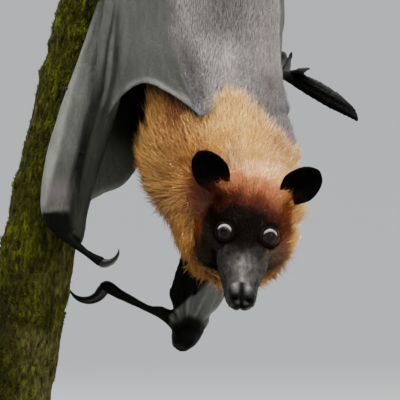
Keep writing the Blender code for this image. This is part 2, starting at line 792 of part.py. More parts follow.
def left_wing(whole, branch):
    """The left wing, drawn across the belly: its elbow stands forward, its wrist hangs below the throat."""
    forearm = limb(
        "forearm_left",
        [
            (*between(ELBOW_L, WRIST_L, -0.02), 4.5, 4.5),
            (*between(ELBOW_L, WRIST_L, 0.04), 6.2, 6.0),
            (*between(ELBOW_L, WRIST_L, 0.3), 6.4, 5.8),
            (*between(ELBOW_L, WRIST_L, 0.7), 4.0, 4.0),
            (*between(ELBOW_L, WRIST_L, 0.97), 3.8, 3.8),
        ],
        RIGHT,
        LOOKS["wing"],
        rings=9,
        segments=8,
    )
    upper_arm = limb(
        "upper_arm_left",
        [
            (*SHOULDER_L, 9.0, 8.0),
            (*between(SHOULDER_L, ELBOW_L, 0.3), 8.6, 7.6),
            (*between(SHOULDER_L, ELBOW_L, 0.7), 6.2, 6.0),
            (*between(SHOULDER_L, ELBOW_L, 0.97), 5.0, 5.0),
        ],
        (1, 0, 0),
        LOOKS["back"],
        whole,
        forearm,
        rings=7,
        segments=8,
    )
    across = Vector(KNUCKLE_L) - Vector(WRIST_L)
    flat = across.cross(Vector((0, 1, 0)))
    hand = limb(
        "hand_left",
        [
            (*between(WRIST_L, KNUCKLE_L, -0.075), 3.6, 3.2),
            (*between(WRIST_L, KNUCKLE_L, 0.0), 6.6, 5.8),
            (*between(WRIST_L, KNUCKLE_L, 0.16), 6.4, 4.2),
            (*between(WRIST_L, KNUCKLE_L, 0.5), 7.4, 3.2),
            (*between(WRIST_L, KNUCKLE_L, 1.0), 5.0, 3.0),
        ],
        flat,
        LOOKS["wing"],
        forearm,
        rings=9,
        segments=8,
    )
    fingers = limb(
        "fingers_left",
        [
            (*between(KNUCKLE_L, FINGER_BEND_L, 0.0), 4.6, 2.8),
            (*between(KNUCKLE_L, FINGER_BEND_L, 0.5), 6.4, 2.6),
            (*between(KNUCKLE_L, FINGER_BEND_L, 1.0), 3.4, 2.2),
        ],
        (0.8, 0, 0.6),
        LOOKS["wing"],
        hand,
        upper_arm,
        forearm,
        rings=6,
        segments=7,
    )
    leaf = (0.54, 0, 0.84)
    tip = limb(
        "wing_tip_left",
        [
            (*between(FINGER_BEND_L, WING_TIP_L, 0.02), 2.4, 2.0),
            (*between(FINGER_BEND_L, WING_TIP_L, 0.25, 0.6, 0, 1.0), 3.1, 1.5),
            (*between(FINGER_BEND_L, WING_TIP_L, 0.45, 1.1, 0, 1.7), 4.2, 1.3),
            (*between(FINGER_BEND_L, WING_TIP_L, 0.62, 1.2, 0, 1.9), 4.5, 1.2),
            (*between(FINGER_BEND_L, WING_TIP_L, 0.78, 1.2, 0, 1.9), 4.1, 1.1),
            (*between(FINGER_BEND_L, WING_TIP_L, 0.9, 1.1, 0, 1.6), 3.0, 1.0),
            (*between(FINGER_BEND_L, WING_TIP_L, 0.97, 0.6, 0, 0.8), 1.7, 0.9),
            (*between(FINGER_BEND_L, WING_TIP_L, 1.0), 0.7, 0.7),
        ],
        leaf,
        LOOKS["dark_skin"],
        fingers,
        hand,
        upper_arm,
        forearm,
        rings=12,
        segments=7,
    )
    fourth = limb(
        "finger_tip_left",
        [
            (*between(FINGER_BEND_L, FOURTH_TIP_L, 0.10, 3.0, 0, 2.0), 1.8, 1.4),
            (62.5, 50.0, 228.0, 2.4, 1.3),
            (63.5, 32.0, 221.5, 2.6, 1.2),
            (64.5, 23.0, 221.0, 2.4, 1.1),
            (*FOURTH_TIP_L, 0.8, 0.7),
        ],
        (1, 0, 0),
        LOOKS["dark_skin"],
        tip,
        fingers,
        forearm,
        upper_arm,
        whole,
        rings=9,
        segments=7,
    )
    thumb = limb(
        "thumb_left",
        [
            (13.5, 27.0, 105.6, 4.0, 3.4),
            (9.0, 26.0, 108.4, 2.6, 2.4),
            (2.2, 25.0, 111.3, 1.8, 1.8),
            (-7.0, 25.0, 115.4, 1.9, 1.8),
            (-12.4, 25.0, 118.0, 2.0, 1.9),
            (-17.0, 25.0, 120.8, 2.4, 2.2),
            (-20.2, 25.0, 120.0, 2.0, 2.0),
        ],
        (0, 0, 1),
        LOOKS["dark_skin"],
        hand,
        forearm,
        rings=10,
        segments=7,
    )
    claw("thumb_claw_left", (-20.0, 25.0, 119.6), (-0.62, 0, -0.8), (-1.0, 0, 0.9), 18.5, 1.8, thumb)
    beside = between(WRIST_L, KNUCKLE_L, 0.62, -6.0, 0, 4.0)
    claw("index_claw_left", beside, (-0.2, 0.3, 1), (-1, 0, 0), 5.5, 0.8, hand)
    rows = []
    for share in (0.0, 0.32, 0.64, 0.96):
        row = []
        for t in np.linspace(0.0, 0.93, 9):
            edge = smooth_rows(FRONT_EDGE_L, 29)[round(t * 28)]
            if t < 0.5:
                bone = Vector(SHOULDER_L).lerp(Vector(ELBOW_L), t / 0.5)
            else:
                bone = Vector(ELBOW_L).lerp(Vector(WRIST_L), (t - 0.5) / 0.5)
            row.append(Vector(edge).lerp(bone, share))
        rows.append(row)
    front = sheet_object("propatagium_left", rows, 9, 5, SHEET, LOOKS["wing"])
    carve(front, whole, upper_arm, forearm, hand, fingers, thumb)
    shade(front)
    rows = []
    for share in (0.0, 0.25, 0.5, 0.75, 1.0):
        belly = Vector((1.0, 0.3, 0)) * 9.0 * math.sin(math.pi * share)
        row = []
        for t in np.linspace(0, 1, 9):
            inner = smooth_rows(FLANK_LINE_L, 17)[round(t * 16)]
            outer = smooth_rows(WING_EDGE_L, 17)[round(t * 16)]
            bow = belly * math.sin(math.pi * min(1, t * 1.1)) ** 0.5 if t < 0.9 else Vector()
            row.append(Vector(inner).lerp(Vector(outer), share) + bow)
        rows.append(row)
    behind = sheet_object("plagiopatagium_left", rows, 9, 5, SHEET, LOOKS["wing"])
    carve(behind, whole, upper_arm, forearm, hand, fingers, tip, fourth, branch, *LEG_PARTS["left"])
    shade(behind)
    rows = []
    for share in (0.0, 0.5, 1.0):
        bow = Vector((0, 1, 0)) * 3.0 * math.sin(math.pi * share)
        row = []
        for t in np.linspace(0.12, 0.97, 7):
            arm = Vector(WRIST_L).lerp(Vector(ELBOW_L), t)
            palm = Vector(WRIST_L).lerp(Vector(KNUCKLE_L), t)
            row.append(arm.lerp(palm, share) + bow * t)
        rows.append(row)
    web = sheet_object("hand_membrane_left", rows, 5, 3, SHEET, LOOKS["wing"])
    carve(web, forearm, hand, fingers)
    shade(web)


def main():
    """Builds the model: the branch and the stand, the body, then limbs and wings fitted round it."""
    clear_scene()
    branch = perch()
    stand()
    whole = body_whole()
    eyes = [eye("eye_right", 1), eye("eye_left", -1)]
    sockets = [socket(1), socket(-1)]
    carve(whole, *eyes)
    carve(whole, *sockets, gap=0.0)
    ear("ear_right", 1, whole)
    ear("ear_left", -1, whole)
    head_cut, head_way = HEAD_CUT
    neck_cut, neck_way = NECK_CUT
    slice_of(whole, "head", [(head_cut, Vector(head_way).normalized())], LOOKS["face"])
    slice_of(
        whole,
        "neck",
        [(head_cut, -Vector(head_way).normalized()), (neck_cut, Vector(neck_way).normalized())],
        LOOKS["mantle"],
    )
    slice_of(
        whole,
        "trunk",
        [(neck_cut, -Vector(neck_way).normalized()), (head_cut, -Vector(head_way).normalized())],
        LOOKS["back"],
    )
    legs(whole, branch)
    right_wing(whole, branch)
    left_wing(whole, branch)
    whole.hide_render = True
    whole.display_type = "WIRE"
    for cutter in sockets:
        bpy.data.objects.remove(cutter)


main()
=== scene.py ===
"""Dresses the hanging fruit bat: skin and coat, wings, ears, eyes and claws, the mossy branch and the stand.

Everything lies in the part's own frame: +Z up, the origin at the middle of the base's underside, the bat's
back towards -Y. Sizes and places are in millimetres. A shape is scaled to metres when it becomes an object.
"""

from __future__ import annotations

import json
import logging
import math
from dataclasses import dataclass, replace
from enum import Enum
from itertools import product

import bmesh
import bpy
import numpy as np
from mathutils import Matrix, Vector, noise
from mathutils.bvhtree import BVHTree

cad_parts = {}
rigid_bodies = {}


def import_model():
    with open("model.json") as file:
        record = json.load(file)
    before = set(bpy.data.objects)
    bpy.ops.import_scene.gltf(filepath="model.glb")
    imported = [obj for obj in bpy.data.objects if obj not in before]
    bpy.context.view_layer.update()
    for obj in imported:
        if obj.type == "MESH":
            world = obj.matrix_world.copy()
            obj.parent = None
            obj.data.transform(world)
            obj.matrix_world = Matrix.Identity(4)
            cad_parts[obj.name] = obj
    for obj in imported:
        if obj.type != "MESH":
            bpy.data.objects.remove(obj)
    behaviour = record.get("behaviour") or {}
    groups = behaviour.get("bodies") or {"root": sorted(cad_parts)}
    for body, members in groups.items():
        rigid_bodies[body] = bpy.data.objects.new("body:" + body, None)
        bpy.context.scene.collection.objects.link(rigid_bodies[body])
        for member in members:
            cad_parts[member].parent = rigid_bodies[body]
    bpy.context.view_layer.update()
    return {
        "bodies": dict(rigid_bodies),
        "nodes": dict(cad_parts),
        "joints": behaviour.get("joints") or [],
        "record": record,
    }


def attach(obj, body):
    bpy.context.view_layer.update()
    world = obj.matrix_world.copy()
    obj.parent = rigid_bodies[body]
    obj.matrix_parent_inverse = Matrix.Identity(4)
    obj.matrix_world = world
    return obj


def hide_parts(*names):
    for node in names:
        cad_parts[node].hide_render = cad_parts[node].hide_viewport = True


LOG = logging.getLogger("fruit_bat")
MM = 0.001
BODY = "root"
TINT = "tint"

# Directions of the body: it hangs head down, turned so that its right flank comes forward.
BODY_YAW = math.radians(23)
TRUNK_LINE = (31.0, -13.0, 0.0)  # a point on the upright line through the trunk
DORSAL = Vector((math.sin(BODY_YAW), -math.cos(BODY_YAW), 0))
RIGHT = Vector((-math.cos(BODY_YAW), -math.sin(BODY_YAW), 0))

# Directions of the head: the snout points down and back over the shoulders, a little rolled.
HEAD_ROLL = math.radians(9)
SNOUT_DROP = math.radians(52)
HEAD_RIGHT = Vector((-math.cos(HEAD_ROLL), 0, math.sin(HEAD_ROLL)))
SNOUT = Vector(
    (
        -math.sin(HEAD_ROLL) * math.sin(SNOUT_DROP), -math.cos(SNOUT_DROP),
        -math.cos(HEAD_ROLL) * math.sin(SNOUT_DROP)
    )
)
CROWN = HEAD_RIGHT.cross(SNOUT)
EYES_MIDDLE = Vector((45.6, -41.6, 145.7))
UP = Vector((0, 0, 1))

# Arm and leg joints.
SHOULDER_R = (18.0, -29.0, 203.0)
ELBOW_R = (-6.0, -20.0, 296.0)
WRIST_R = (-31.0, -14.0, 146.0)
SHOULDER_L = (57.0, -9.0, 198.0)
ELBOW_L = (50.0, 80.0, 236.0)
WRIST_L = (18.5, 30.0, 99.0)
KNUCKLE_L = (62.0, 84.0, 176.0)
FINGER_BEND_L = (54.0, 88.0, 226.0)
WING_TIP_L = (95.8, 5.0, 196.2)
FOURTH_TIP_L = (66.8, 18.0, 228.5)
LEGS = {
    "right": ((15.4, -16.8, 314.0), (-3.0, -26.0, 360.0), (-4.0, 2.0, 412.0), -0.58),
    "left": ((35.6, -8.2, 314.0), (46.0, -20.0, 362.0), (22.0, 5.0, 416.0), 0.86)
}


def ramp(low: float, high: float, values: np.ndarray) -> np.ndarray:
    """A soft ramp from 0 at low to 1 at high."""
    share = np.clip((values - low) / (high - low), 0.0, 1.0)
    return share * share * (3.0 - 2.0 * share)


def bell(values: np.ndarray, width: float) -> np.ndarray:
    """A soft bump: 1 where values are 0, gone a few widths away."""
    return np.exp(-((values / width) ** 2))


def unit(vectors: np.ndarray) -> np.ndarray:
    """The vectors at length 1."""
    return vectors / np.maximum(np.linalg.norm(vectors, axis=-1, keepdims=True), 1e-9)


def soft_noise(points: np.ndarray, scale: float, seed: int = 0) -> np.ndarray:
    """Smooth noise from -1 to 1.

    Args:
        points: One row of x, y, z for each place.
        scale: Size of one lump.
        seed: Picks another pattern.

    Returns:
        One value for each place.
    """
    place = points / scale + seed * 17.31
    cell = np.floor(place).astype(np.int64)
    share = place - cell
    share = share * share * (3.0 - 2.0 * share)
    total = np.zeros(len(points))
    for corner in product((0, 1), repeat=3):
        key = cell + np.array(corner)
        mixed = (key[:, 0] * 73856093) ^ (key[:, 1] * 19349663) ^ (key[:, 2] * 83492791)
        mixed = ((mixed & 0xFFFFFF) * 1103515245 + 12345 + seed * 7919) & 0x7FFFFFFF
        mixed = ((mixed >> 7) * 48271) & 0xFFFF
        weight = np.prod(np.where(np.array(corner) == 1, share, 1.0 - share), axis=1)
        total += weight * (mixed / 32767.5 - 1.0)
    return total


def smooth_rows(rows: list | np.ndarray, count: int) -> np.ndarray:
    """Rows of numbers, interpolated by a Catmull-Rom curve to count rows."""
    rows = np.asarray(rows, float)
    padded = np.vstack([2 * rows[0] - rows[1], rows, 2 * rows[-1] - rows[-2]])
    places = np.linspace(0, len(rows) - 1, count)
    index = np.minimum(places.astype(int), len(rows) - 2)
    t = (places - index)[:, None]
    before, start, end, after = (padded[index + k] for k in range(4))
    bend = 0.5 * t**2 * (2 * before - 5 * start + 4 * end - after)
    return start + 0.5 * t * (end - before) + bend + 0.5 * t**3 * (3 * start - before - 3 * end + after)


def muzzle_swing(forward: float | np.ndarray) -> float | np.ndarray:
    """How far right of the skull's midline the muzzle's middle lies: it swings a little to the bat's left."""
    return -2.3 * np.maximum(0.0, (forward - 14.0) / 22.0) ** 1.4


def head_place(forward: float, up: float, right: float) -> Vector:
    """A point of the head, given from the point midway between the eyes."""
    return EYES_MIDDLE + SNOUT * forward + CROWN * up + HEAD_RIGHT * (right + float(muzzle_swing(forward)))


def head_local(points: np.ndarray) -> tuple[np.ndarray, np.ndarray, np.ndarray]:
    """How far the points lie forward, up and right of the point midway between the eyes."""
    away = points - np.array(EYES_MIDDLE)
    forward = away @ np.array(SNOUT)
    return forward, away @ np.array(CROWN), away @ np.array(HEAD_RIGHT) - muzzle_swing(forward)


def dorsal_reach(points: np.ndarray) -> np.ndarray:
    """How far each point lies from the trunk's line towards the bat's back."""
    return (points - np.array(TRUNK_LINE)) @ np.array(DORSAL)


def between(start: tuple, end: tuple, share: float, *offset: float) -> tuple:
    """A point at that share of the way from start to end, moved by the offset."""
    return tuple(Vector(start).lerp(Vector(end), share) + Vector(offset or (0, 0, 0)))


def bone_rows(start: tuple, end: tuple, *rows: tuple) -> list[tuple]:
    """Stations of a tube, from rows of the share of the way, half-width, half-depth and any offset."""
    return [(*between(start, end, share, *offset), wide, deep) for share, wide, deep, *offset in rows]


def linear(red: float, green: float, blue: float) -> np.ndarray:
    """A display colour of 0 to 255 as the linear colour that shaders use."""
    share = np.array((red, green, blue), float) / 255.0
    return np.where(share <= 0.04045, share / 12.92, ((share + 0.055) / 1.055) ** 2.4)


def line_distance(points: np.ndarray, line: list, axes: tuple = (0, 1, 2)) -> tuple[np.ndarray, np.ndarray]:
    """Distance from each point to a line through places.

    Args:
        points: One row of x, y, z for each point.
        line: Places that the line goes through.
        axes: The coordinates that count.

    Returns:
        The distances, and the share of the way along the line where each is met.
    """
    places = smooth_rows(line, 8 * len(line))[:, axes]
    flat = points[:, axes]
    best = np.full(len(points), 1e9)
    share = np.zeros(len(points))
    for k, (start, end) in enumerate(zip(places, places[1:])):
        way = end - start
        t = np.clip(((flat - start) @ way) / max(way @ way, 1e-9), 0, 1)
        apart = np.linalg.norm(flat - start - t[:, None] * way, axis=1)
        nearer = apart < best
        best[nearer] = apart[nearer]
        share[nearer] = (k + t[nearer]) / (len(places) - 1)
    return best, share


def beside(points: np.ndarray, line: list) -> np.ndarray:
    """How far along +X each point lies from a line of (x, z) places that rises."""
    low_to_high = np.array(line, float)
    return points[:, 0] - np.interp(points[:, 2], low_to_high[:, 1], low_to_high[:, 0])


def spread(values: np.ndarray, edges: np.ndarray, passes: int, factor: float = 0.5) -> np.ndarray:
    """Values at a mesh's points, each mixed with its neighbours' mean that many times."""
    values = np.array(values, float)
    flat = values.ndim == 1
    if flat:
        values = values[:, None]
    count = len(values)
    near = np.maximum(np.bincount(edges.ravel(), minlength=count), 1)[:, None]
    one, other = edges[:, 0], edges[:, 1]
    for _ in range(passes):
        sums = [
            np.bincount(one, column[other], count) + np.bincount(other, column[one], count)
            for column in values.T
        ]
        total = np.stack(sums, axis=1)
        values = values + factor * (total / near - values)
    return values[:, 0] if flat else values


class Surface:
    """A mesh object's points, normals and edges as arrays, in millimetres."""

    def __init__(self, obj: bpy.types.Object) -> None:
        """Reads the object's mesh."""
        self.obj = obj
        self.points = np.empty(0)
        self.normals = np.empty(0)
        self.edges = np.empty(0)
        self.read()

    def read(self) -> None:
        """Reads the points, normals and edges again."""
        mesh = self.obj.data
        count = len(mesh.vertices)
        points = np.empty(count * 3)
        mesh.vertices.foreach_get("co", points)
        normals = np.empty(count * 3)
        mesh.vertex_normals.foreach_get("vector", normals)
        edges = np.empty(len(mesh.edges) * 2, int)
        mesh.edges.foreach_get("vertices", edges)
        self.points = points.reshape(-1, 3) / MM
        self.normals = normals.reshape(-1, 3)
        self.edges = edges.reshape(-1, 2)

    def move(self, points: np.ndarray) -> None:
        """Puts the points there."""
        self.obj.data.vertices.foreach_set("co", (points * MM).ravel())
        self.obj.data.update()
        self.read()

    def even_out(self, passes: int, weight: np.ndarray | float = 1.0) -> None:
        """Smooths the surface without shrinking it."""
        points = self.points
        for _ in range(passes):
            for factor in (0.55, -0.57):
                moved = spread(points, self.edges, 1, factor)
                points = points + (moved - points) * weight
        self.move(points)

    def paint(self, colours: np.ndarray) -> None:
        """Stores a colour for each point."""
        layer = self.obj.data.color_attributes.get(TINT)
        layer = layer or self.obj.data.color_attributes.new(TINT, "FLOAT_COLOR", "POINT")
        rows = np.hstack([np.clip(colours, 0, 1), np.ones((len(colours), 1))])
        layer.data.foreach_set("color", rows.astype(np.float32).ravel())

    def thin_out(self, share: float) -> None:
        """Merges faces where the surface is flattest, until this share of them is left."""
        fewer = self.obj.modifiers.new("fewer", "DECIMATE")
        fewer.ratio = share
        apply_modifiers(self.obj)
        self.read()

    def hollowness(self, passes: int = 2) -> np.ndarray:
        """How deep each point lies in a crease: above 0 in hollows, below 0 on ridges."""
        away = spread(self.points, self.edges, passes) - self.points
        return np.einsum("ij,ij->i", away, self.normals)

    def triangles(self) -> np.ndarray:
        """The three points of every triangle."""
        mesh = self.obj.data
        mesh.calc_loop_triangles()
        corners = np.empty(len(mesh.loop_triangles) * 3, int)
        mesh.loop_triangles.foreach_get("vertices", corners)
        return corners.reshape(-1, 3)


def new_object(name: str, bm: bmesh.types.BMesh, smooth: bool = True) -> bpy.types.Object:
    """A mesh object in metres from a shape in millimetres."""
    bmesh.ops.scale(bm, vec=(MM, MM, MM), verts=bm.verts)
    mesh = bpy.data.meshes.new(name)
    bm.to_mesh(mesh)
    bm.free()
    if smooth:
        mesh.shade_smooth()
    obj = bpy.data.objects.new(name, mesh)
    bpy.context.scene.collection.objects.link(obj)
    return obj


def array_object(name: str, points: np.ndarray, faces: np.ndarray) -> bpy.types.Object:
    """A smooth mesh object in metres from arrays in millimetres."""
    mesh = bpy.data.meshes.new(name)
    mesh.from_pydata(points * MM, [], faces)
    mesh.shade_smooth()
    obj = bpy.data.objects.new(name, mesh)
    bpy.context.scene.collection.objects.link(obj)
    return obj


def apply_modifiers(obj: bpy.types.Object) -> None:
    """Replaces the object's mesh by what its modifiers make of it."""
    graph = bpy.context.evaluated_depsgraph_get()
    made = bpy.data.meshes.new_from_object(obj.evaluated_get(graph), depsgraph=graph)
    obj.modifiers.clear()
    obj.data = made


def settle(obj: bpy.types.Object, look: bpy.types.Material, slot: str, *nodes: str) -> bpy.types.Object:
    """Gives a piece its material and its body, and hides the nodes that it stands for."""
    obj.data.materials.clear()
    obj.data.materials.append(look)
    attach(obj, BODY)
    if nodes:
        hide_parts(*nodes)
    LOG.info("%s: %d faces", obj.name, len(obj.data.polygons))
    return obj


class Flesh:
    """Overlapping closed shapes that melt into one skin."""

    def __init__(self) -> None:
        """Starts with no shape."""
        self.bm = bmesh.new()

    def tube(self, stations: list, side: tuple | Vector, rings: int = 30, segments: int = 22) -> None:
        """Adds a closed tube of elliptical rings.

        Args:
            stations: Rows of x, y, z, half-width along side and half-depth across it.
            side: The direction of the widths.
            rings: Number of rings.
            segments: Points of each ring.
        """
        path = smooth_rows(stations, rings)
        side = Vector(side)
        loops = []
        for i, row in enumerate(path):
            ahead = Vector(path[min(i + 1, rings - 1)][:3])
            behind = Vector(path[max(i - 1, 0)][:3])
            along = (ahead - behind).normalized()
            across = (side - along * along.dot(side)).normalized()
            over = along.cross(across)
            frame = Matrix((across * row[3], over * row[4], along)).transposed().to_4x4()
            frame.translation = Vector(row[:3])
            loops.append(
                bmesh.ops.create_circle(self.bm, segments=segments, radius=1.0, matrix=frame)["verts"]
            )
        rims = []
        for loop in loops:
            inside = set(loop)
            rims.append([e for v in loop for e in v.link_edges if e.other_vert(v) in inside])
        for first, second in zip(rims, rims[1:]):
            bmesh.ops.bridge_loops(self.bm, edges=list(set(first) | set(second)))
        self.bm.faces.new(loops[0])
        self.bm.faces.new(loops[-1])

    def ball(self, centre: Vector, radii: tuple, axes: tuple | None = None, detail: int = 4) -> None:
        """Adds an ellipsoid, with its radii along the three axes."""
        axes = axes or (Vector((1, 0, 0)), Vector((0, 1, 0)), UP)
        frame = Matrix([a * r for a, r in zip(axes, radii)]).transposed().to_4x4()
        frame.translation = Vector(centre)
        bmesh.ops.create_icosphere(self.bm, subdivisions=detail, radius=1.0, matrix=frame)

    def sheet(self, rows: list, across: int, along: int, thickness: float) -> None:
        """Adds a smooth sheet through a net of points, with that thickness."""
        net = np.array([smooth_rows(row, across + 1) for row in rows])
        net = np.array([smooth_rows(net[:, k], along + 1) for k in range(across + 1)])
        bm = bmesh.new()
        bmesh.ops.create_grid(bm, x_segments=across, y_segments=along, size=0.5)
        for vert in bm.verts:
            vert.co = Vector(net[round((vert.co.x + 0.5) * across), round((vert.co.y + 0.5) * along)])
        bm.normal_update()
        for vert, normal in [(vert, vert.normal.copy()) for vert in bm.verts]:
            vert.co += normal * thickness / 2
        bmesh.ops.solidify(bm, geom=bm.verts[:] + bm.edges[:] + bm.faces[:], thickness=thickness)
        bmesh.ops.recalc_face_normals(bm, faces=bm.faces)
        mesh = bpy.data.meshes.new("net")
        bm.to_mesh(mesh)
        bm.free()
        self.bm.from_mesh(mesh)
        bpy.data.meshes.remove(mesh)

    def melt(self, name: str, voxel: float, passes: int) -> Surface:
        """Makes the shapes one smooth closed skin, and empties the flesh."""
        bmesh.ops.recalc_face_normals(self.bm, faces=self.bm.faces)
        obj = new_object(name, self.bm)
        skin = obj.modifiers.new("skin", "REMESH")
        skin.mode = "VOXEL"
        skin.voxel_size = voxel * MM
        skin.use_smooth_shade = True
        apply_modifiers(obj)
        obj.data.name = name
        made = Surface(obj)
        made.even_out(passes)
        return made


@dataclass(frozen=True)
class Lie:
    """How the coat lies on a part of the body: lengths in mm, lift in degrees, tufts per square mm."""

    depth: float
    length: float
    width: float
    lift: float
    density: float
    mess: float

    def row(self) -> np.ndarray:
        """The numbers as one row."""
        return np.array([self.depth, self.length, self.width, self.lift, self.density, self.mess])


class Part(Enum):
    """The parts of the body that differ in their coat."""

    MUZZLE = "muzzle"
    FACE = "face"
    CROWN = "crown"
    MANTLE = "mantle"
    BACK = "back"
    BELLY = "belly"
    THIGH = "thigh"
    SHANK = "shank"
    FOOT = "foot"
    ARM = "arm"


LIES = {
    Part.MUZZLE: Lie(0.3, 1.3, 0.16, 17, 6.5, 0.40), Part.FACE: Lie(0.7, 2.3, 0.22, 22, 6.2, 0.34),
    Part.CROWN: Lie(3.4, 6.4, 0.34, 30, 3.8, 0.20), Part.MANTLE: Lie(3.8, 8.6, 0.42, 26, 3.0, 0.22),
    Part.BACK: Lie(1.6, 4.6, 0.32, 15, 2.5, 0.12), Part.BELLY: Lie(3.2, 6.6, 0.60, 26, 1.0, 0.22),
    Part.THIGH: Lie(1.8, 4.4, 0.45, 20, 1.2, 0.22), Part.SHANK: Lie(0.7, 2.2, 0.32, 16, 1.1, 0.25),
    Part.FOOT: Lie(0.2, 0.9, 0.20, 14, 0.5, 0.25), Part.ARM: Lie(2.0, 4.6, 0.45, 20, 1.1, 0.22)
}


@dataclass
class BodyShape:
    """The body out to the tips of its coat: trunk, ruff, head, jaw and legs."""

    voxel: float = 0.85
    kept: float = 0.62  # share of its faces that the finished skin keeps
    trunk: tuple = (
        (37.0, -11.0, 172.0, 24.0, 19.0), (33.5, -12.0, 186.0, 33.0, 26.0), (32.5, -13.5, 203.0, 32.5, 26.5),
        (32.2, -13.5, 225.0, 30.0, 26.0), (31.8, -14.0, 250.0, 30.0, 25.5), (29.5, -14.0, 280.0, 28.0, 24.5),
        (27.5, -13.0, 304.0, 24.0, 21.5), (25.0, -12.0, 324.0, 18.0, 16.0), (23.0, -11.0, 338.0, 9.0, 8.5),
        (22.5, -11.0, 342.0, 3.0, 3.0)
    )
    ruff: tuple = (
        (28.0, -14.0, 206.0, 20.0, 16.0), (30.0, -12.0, 192.0, 34.0, 27.0), (34.5, -10.0, 176.0, 35.5, 25.5),
        (38.5, -12.0, 160.0, 30.5, 23.5), (41.0, -17.0, 144.0, 26.5, 21.0), (41.5, -21.0, 131.0, 19.5, 16.0),
        (41.5, -23.0, 123.0, 9.0, 8.0)
    )
    # Head and lower jaw: forward, up, half-width, half-height.
    head: tuple = (
        (35.3, -5.6, 2.4, 2.2), (33.6, -6.0, 5.9, 4.2), (29.5, -7.0, 7.1, 5.9), (22.0, -7.6, 8.1, 7.3),
        (13.0, -7.2, 10.6, 9.2), (5.0, -5.8, 12.8, 11.4), (-5.0, -4.6, 17.6, 14.4),
        (-16.0, -3.6, 21.0, 16.6), (-27.0, -3.8, 20.4, 16.6), (-38.0, -6.0, 15.0, 13.0),
        (-43.0, -7.0, 6.0, 6.0)
    )
    jaw: tuple = (
        (28.8, -12.2, 3.2, 2.2), (25.0, -12.9, 4.8, 3.4), (16.0, -14.0, 7.0, 5.0), (4.0, -15.4, 9.6, 6.5),
        (-8.0, -16.5, 12.5, 7.5)
    )

    def build(self) -> Surface:
        """Melts the whole body into one skin, as far out as the coat reaches."""
        flesh = Flesh()
        flesh.tube(self.trunk, RIGHT, 44, 40)
        flesh.tube(self.ruff, (1, 0, 0), 30, 40)
        self.add_head(flesh)
        left = bone_rows(
            SHOULDER_L, ELBOW_L, (0, 9.0, 8.0), (0.3, 8.6, 7.6), (0.7, 6.2, 6.0), (0.97, 5.0, 5.0)
        )
        flesh.tube(left, (1, 0, 0))
        right = bone_rows(
            SHOULDER_R, ELBOW_R, (0, 8.0, 6.0), (0.3, 7.5, 5.5), (0.7, 6.0, 5.0), (0.95, 5.0, 4.6)
        )
        flesh.tube(right, RIGHT)
        for hip, knee, ankle, around in LEGS.values():
            self.add_leg(flesh, hip, knee, Vector(ankle), around)
        return flesh.melt("skin", self.voxel, 10)

    def add_head(self, flesh: Flesh) -> None:
        """Adds the skull, brows, cheeks, jaw muscles, nostril tubes, eyeballs and lower jaw."""
        flesh.tube([(*head_place(f, u, 0), a, b) for f, u, a, b in self.head], HEAD_RIGHT, 48, 40)
        axes = (SNOUT, CROWN, HEAD_RIGHT)
        for side in (-1, 1):
            flesh.ball(head_place(-6, 4.4, 7.8 * side), (7.0, 5.2, 6.0), axes)
            flesh.ball(head_place(-8, -7.0, 12.5 * side), (12.0, 9.5, 9.0), axes)
            flesh.ball(head_place(-18, -6.0, 13.0 * side), (10.0, 11.0, 10.0), axes)
            flesh.ball(head_place(32.3, -5.4, 3.6 * side), (3.4, 3.1, 3.0), axes)
            forward, up, right = Eye.places[side]
            flesh.ball(head_place(forward, up, right * side), (Eye.radius + 0.3,) * 3)
        flesh.tube([(*head_place(f, u, 0), a, b) for f, u, a, b in self.jaw], HEAD_RIGHT, 26, 28)

    def add_leg(self, flesh: Flesh, hip: tuple, knee: tuple, ankle: Vector, around: float) -> None:
        """Adds a thigh, a shank and a foot laid along the bark."""
        thigh = ((0.0, 10.0, 9.0), (0.4, 8.2, 7.6), (0.8, 5.6, 5.6), (0.99, 5.0, 5.0), (1.05, 2.6, 2.6))
        flesh.tube(bone_rows(hip, knee, *thigh), RIGHT, 20)
        shank = ((-0.04, 4.0, 4.0), (0.06, 5.2, 5.0), (0.35, 4.2, 4.2), (0.8, 2.8, 2.8), (1.0, 3.0, 2.8))
        flesh.tube(bone_rows(knee, ankle, *shank), RIGHT, 20, 16)
        heel, ball, beside = foot_frame(ankle, around)
        foot = [
            (*ankle.lerp(heel, -0.1), 2.6, 2.6), (*ankle.lerp(heel, 0.6), 4.0, 3.2),
            (*heel.lerp(ball, 0.5), 5.2, 3.2), (*ball, 5.8, 3.0), (*(ball + (ball - heel) * 0.25), 4.5, 2.2)
        ]
        flesh.tube(foot, beside, 16, 16)
        for start, knuckle, end, _ in toes(ankle, around):
            toe = [
                (*start, 2.1, 2.1), (*start.lerp(knuckle, 0.6), 1.8, 1.8), (*knuckle, 2.3, 2.3),
                (*knuckle.lerp(end, 0.6), 1.7, 1.7), (*end, 1.6, 1.6)
            ]
            flesh.tube(toe, beside, 14, 12)


def perch_place(z: float, angle: float, out: float) -> Vector:
    """A point outside the branch at a height, at an angle from the viewer's side round to the bat's left."""
    line = np.array(Branch.line)
    x, y, r = (np.interp(z, line[:, 0], line[:, k]) for k in (1, 2, 3))
    return Vector((x + (r + out) * math.sin(angle), y - (r + out) * math.cos(angle), z))


def foot_frame(ankle: Vector, around: float) -> tuple[Vector, Vector, Vector]:
    """Heel, ball and sideways direction of a foot laid along the bark."""
    heel = perch_place(ankle.z + 3, around, 5.0)
    ball = perch_place(ankle.z + 14, around, 4.2)
    out = perch_place(ankle.z, around, 1) - perch_place(ankle.z, around, 0)
    return heel, ball, (ball - heel).cross(out)


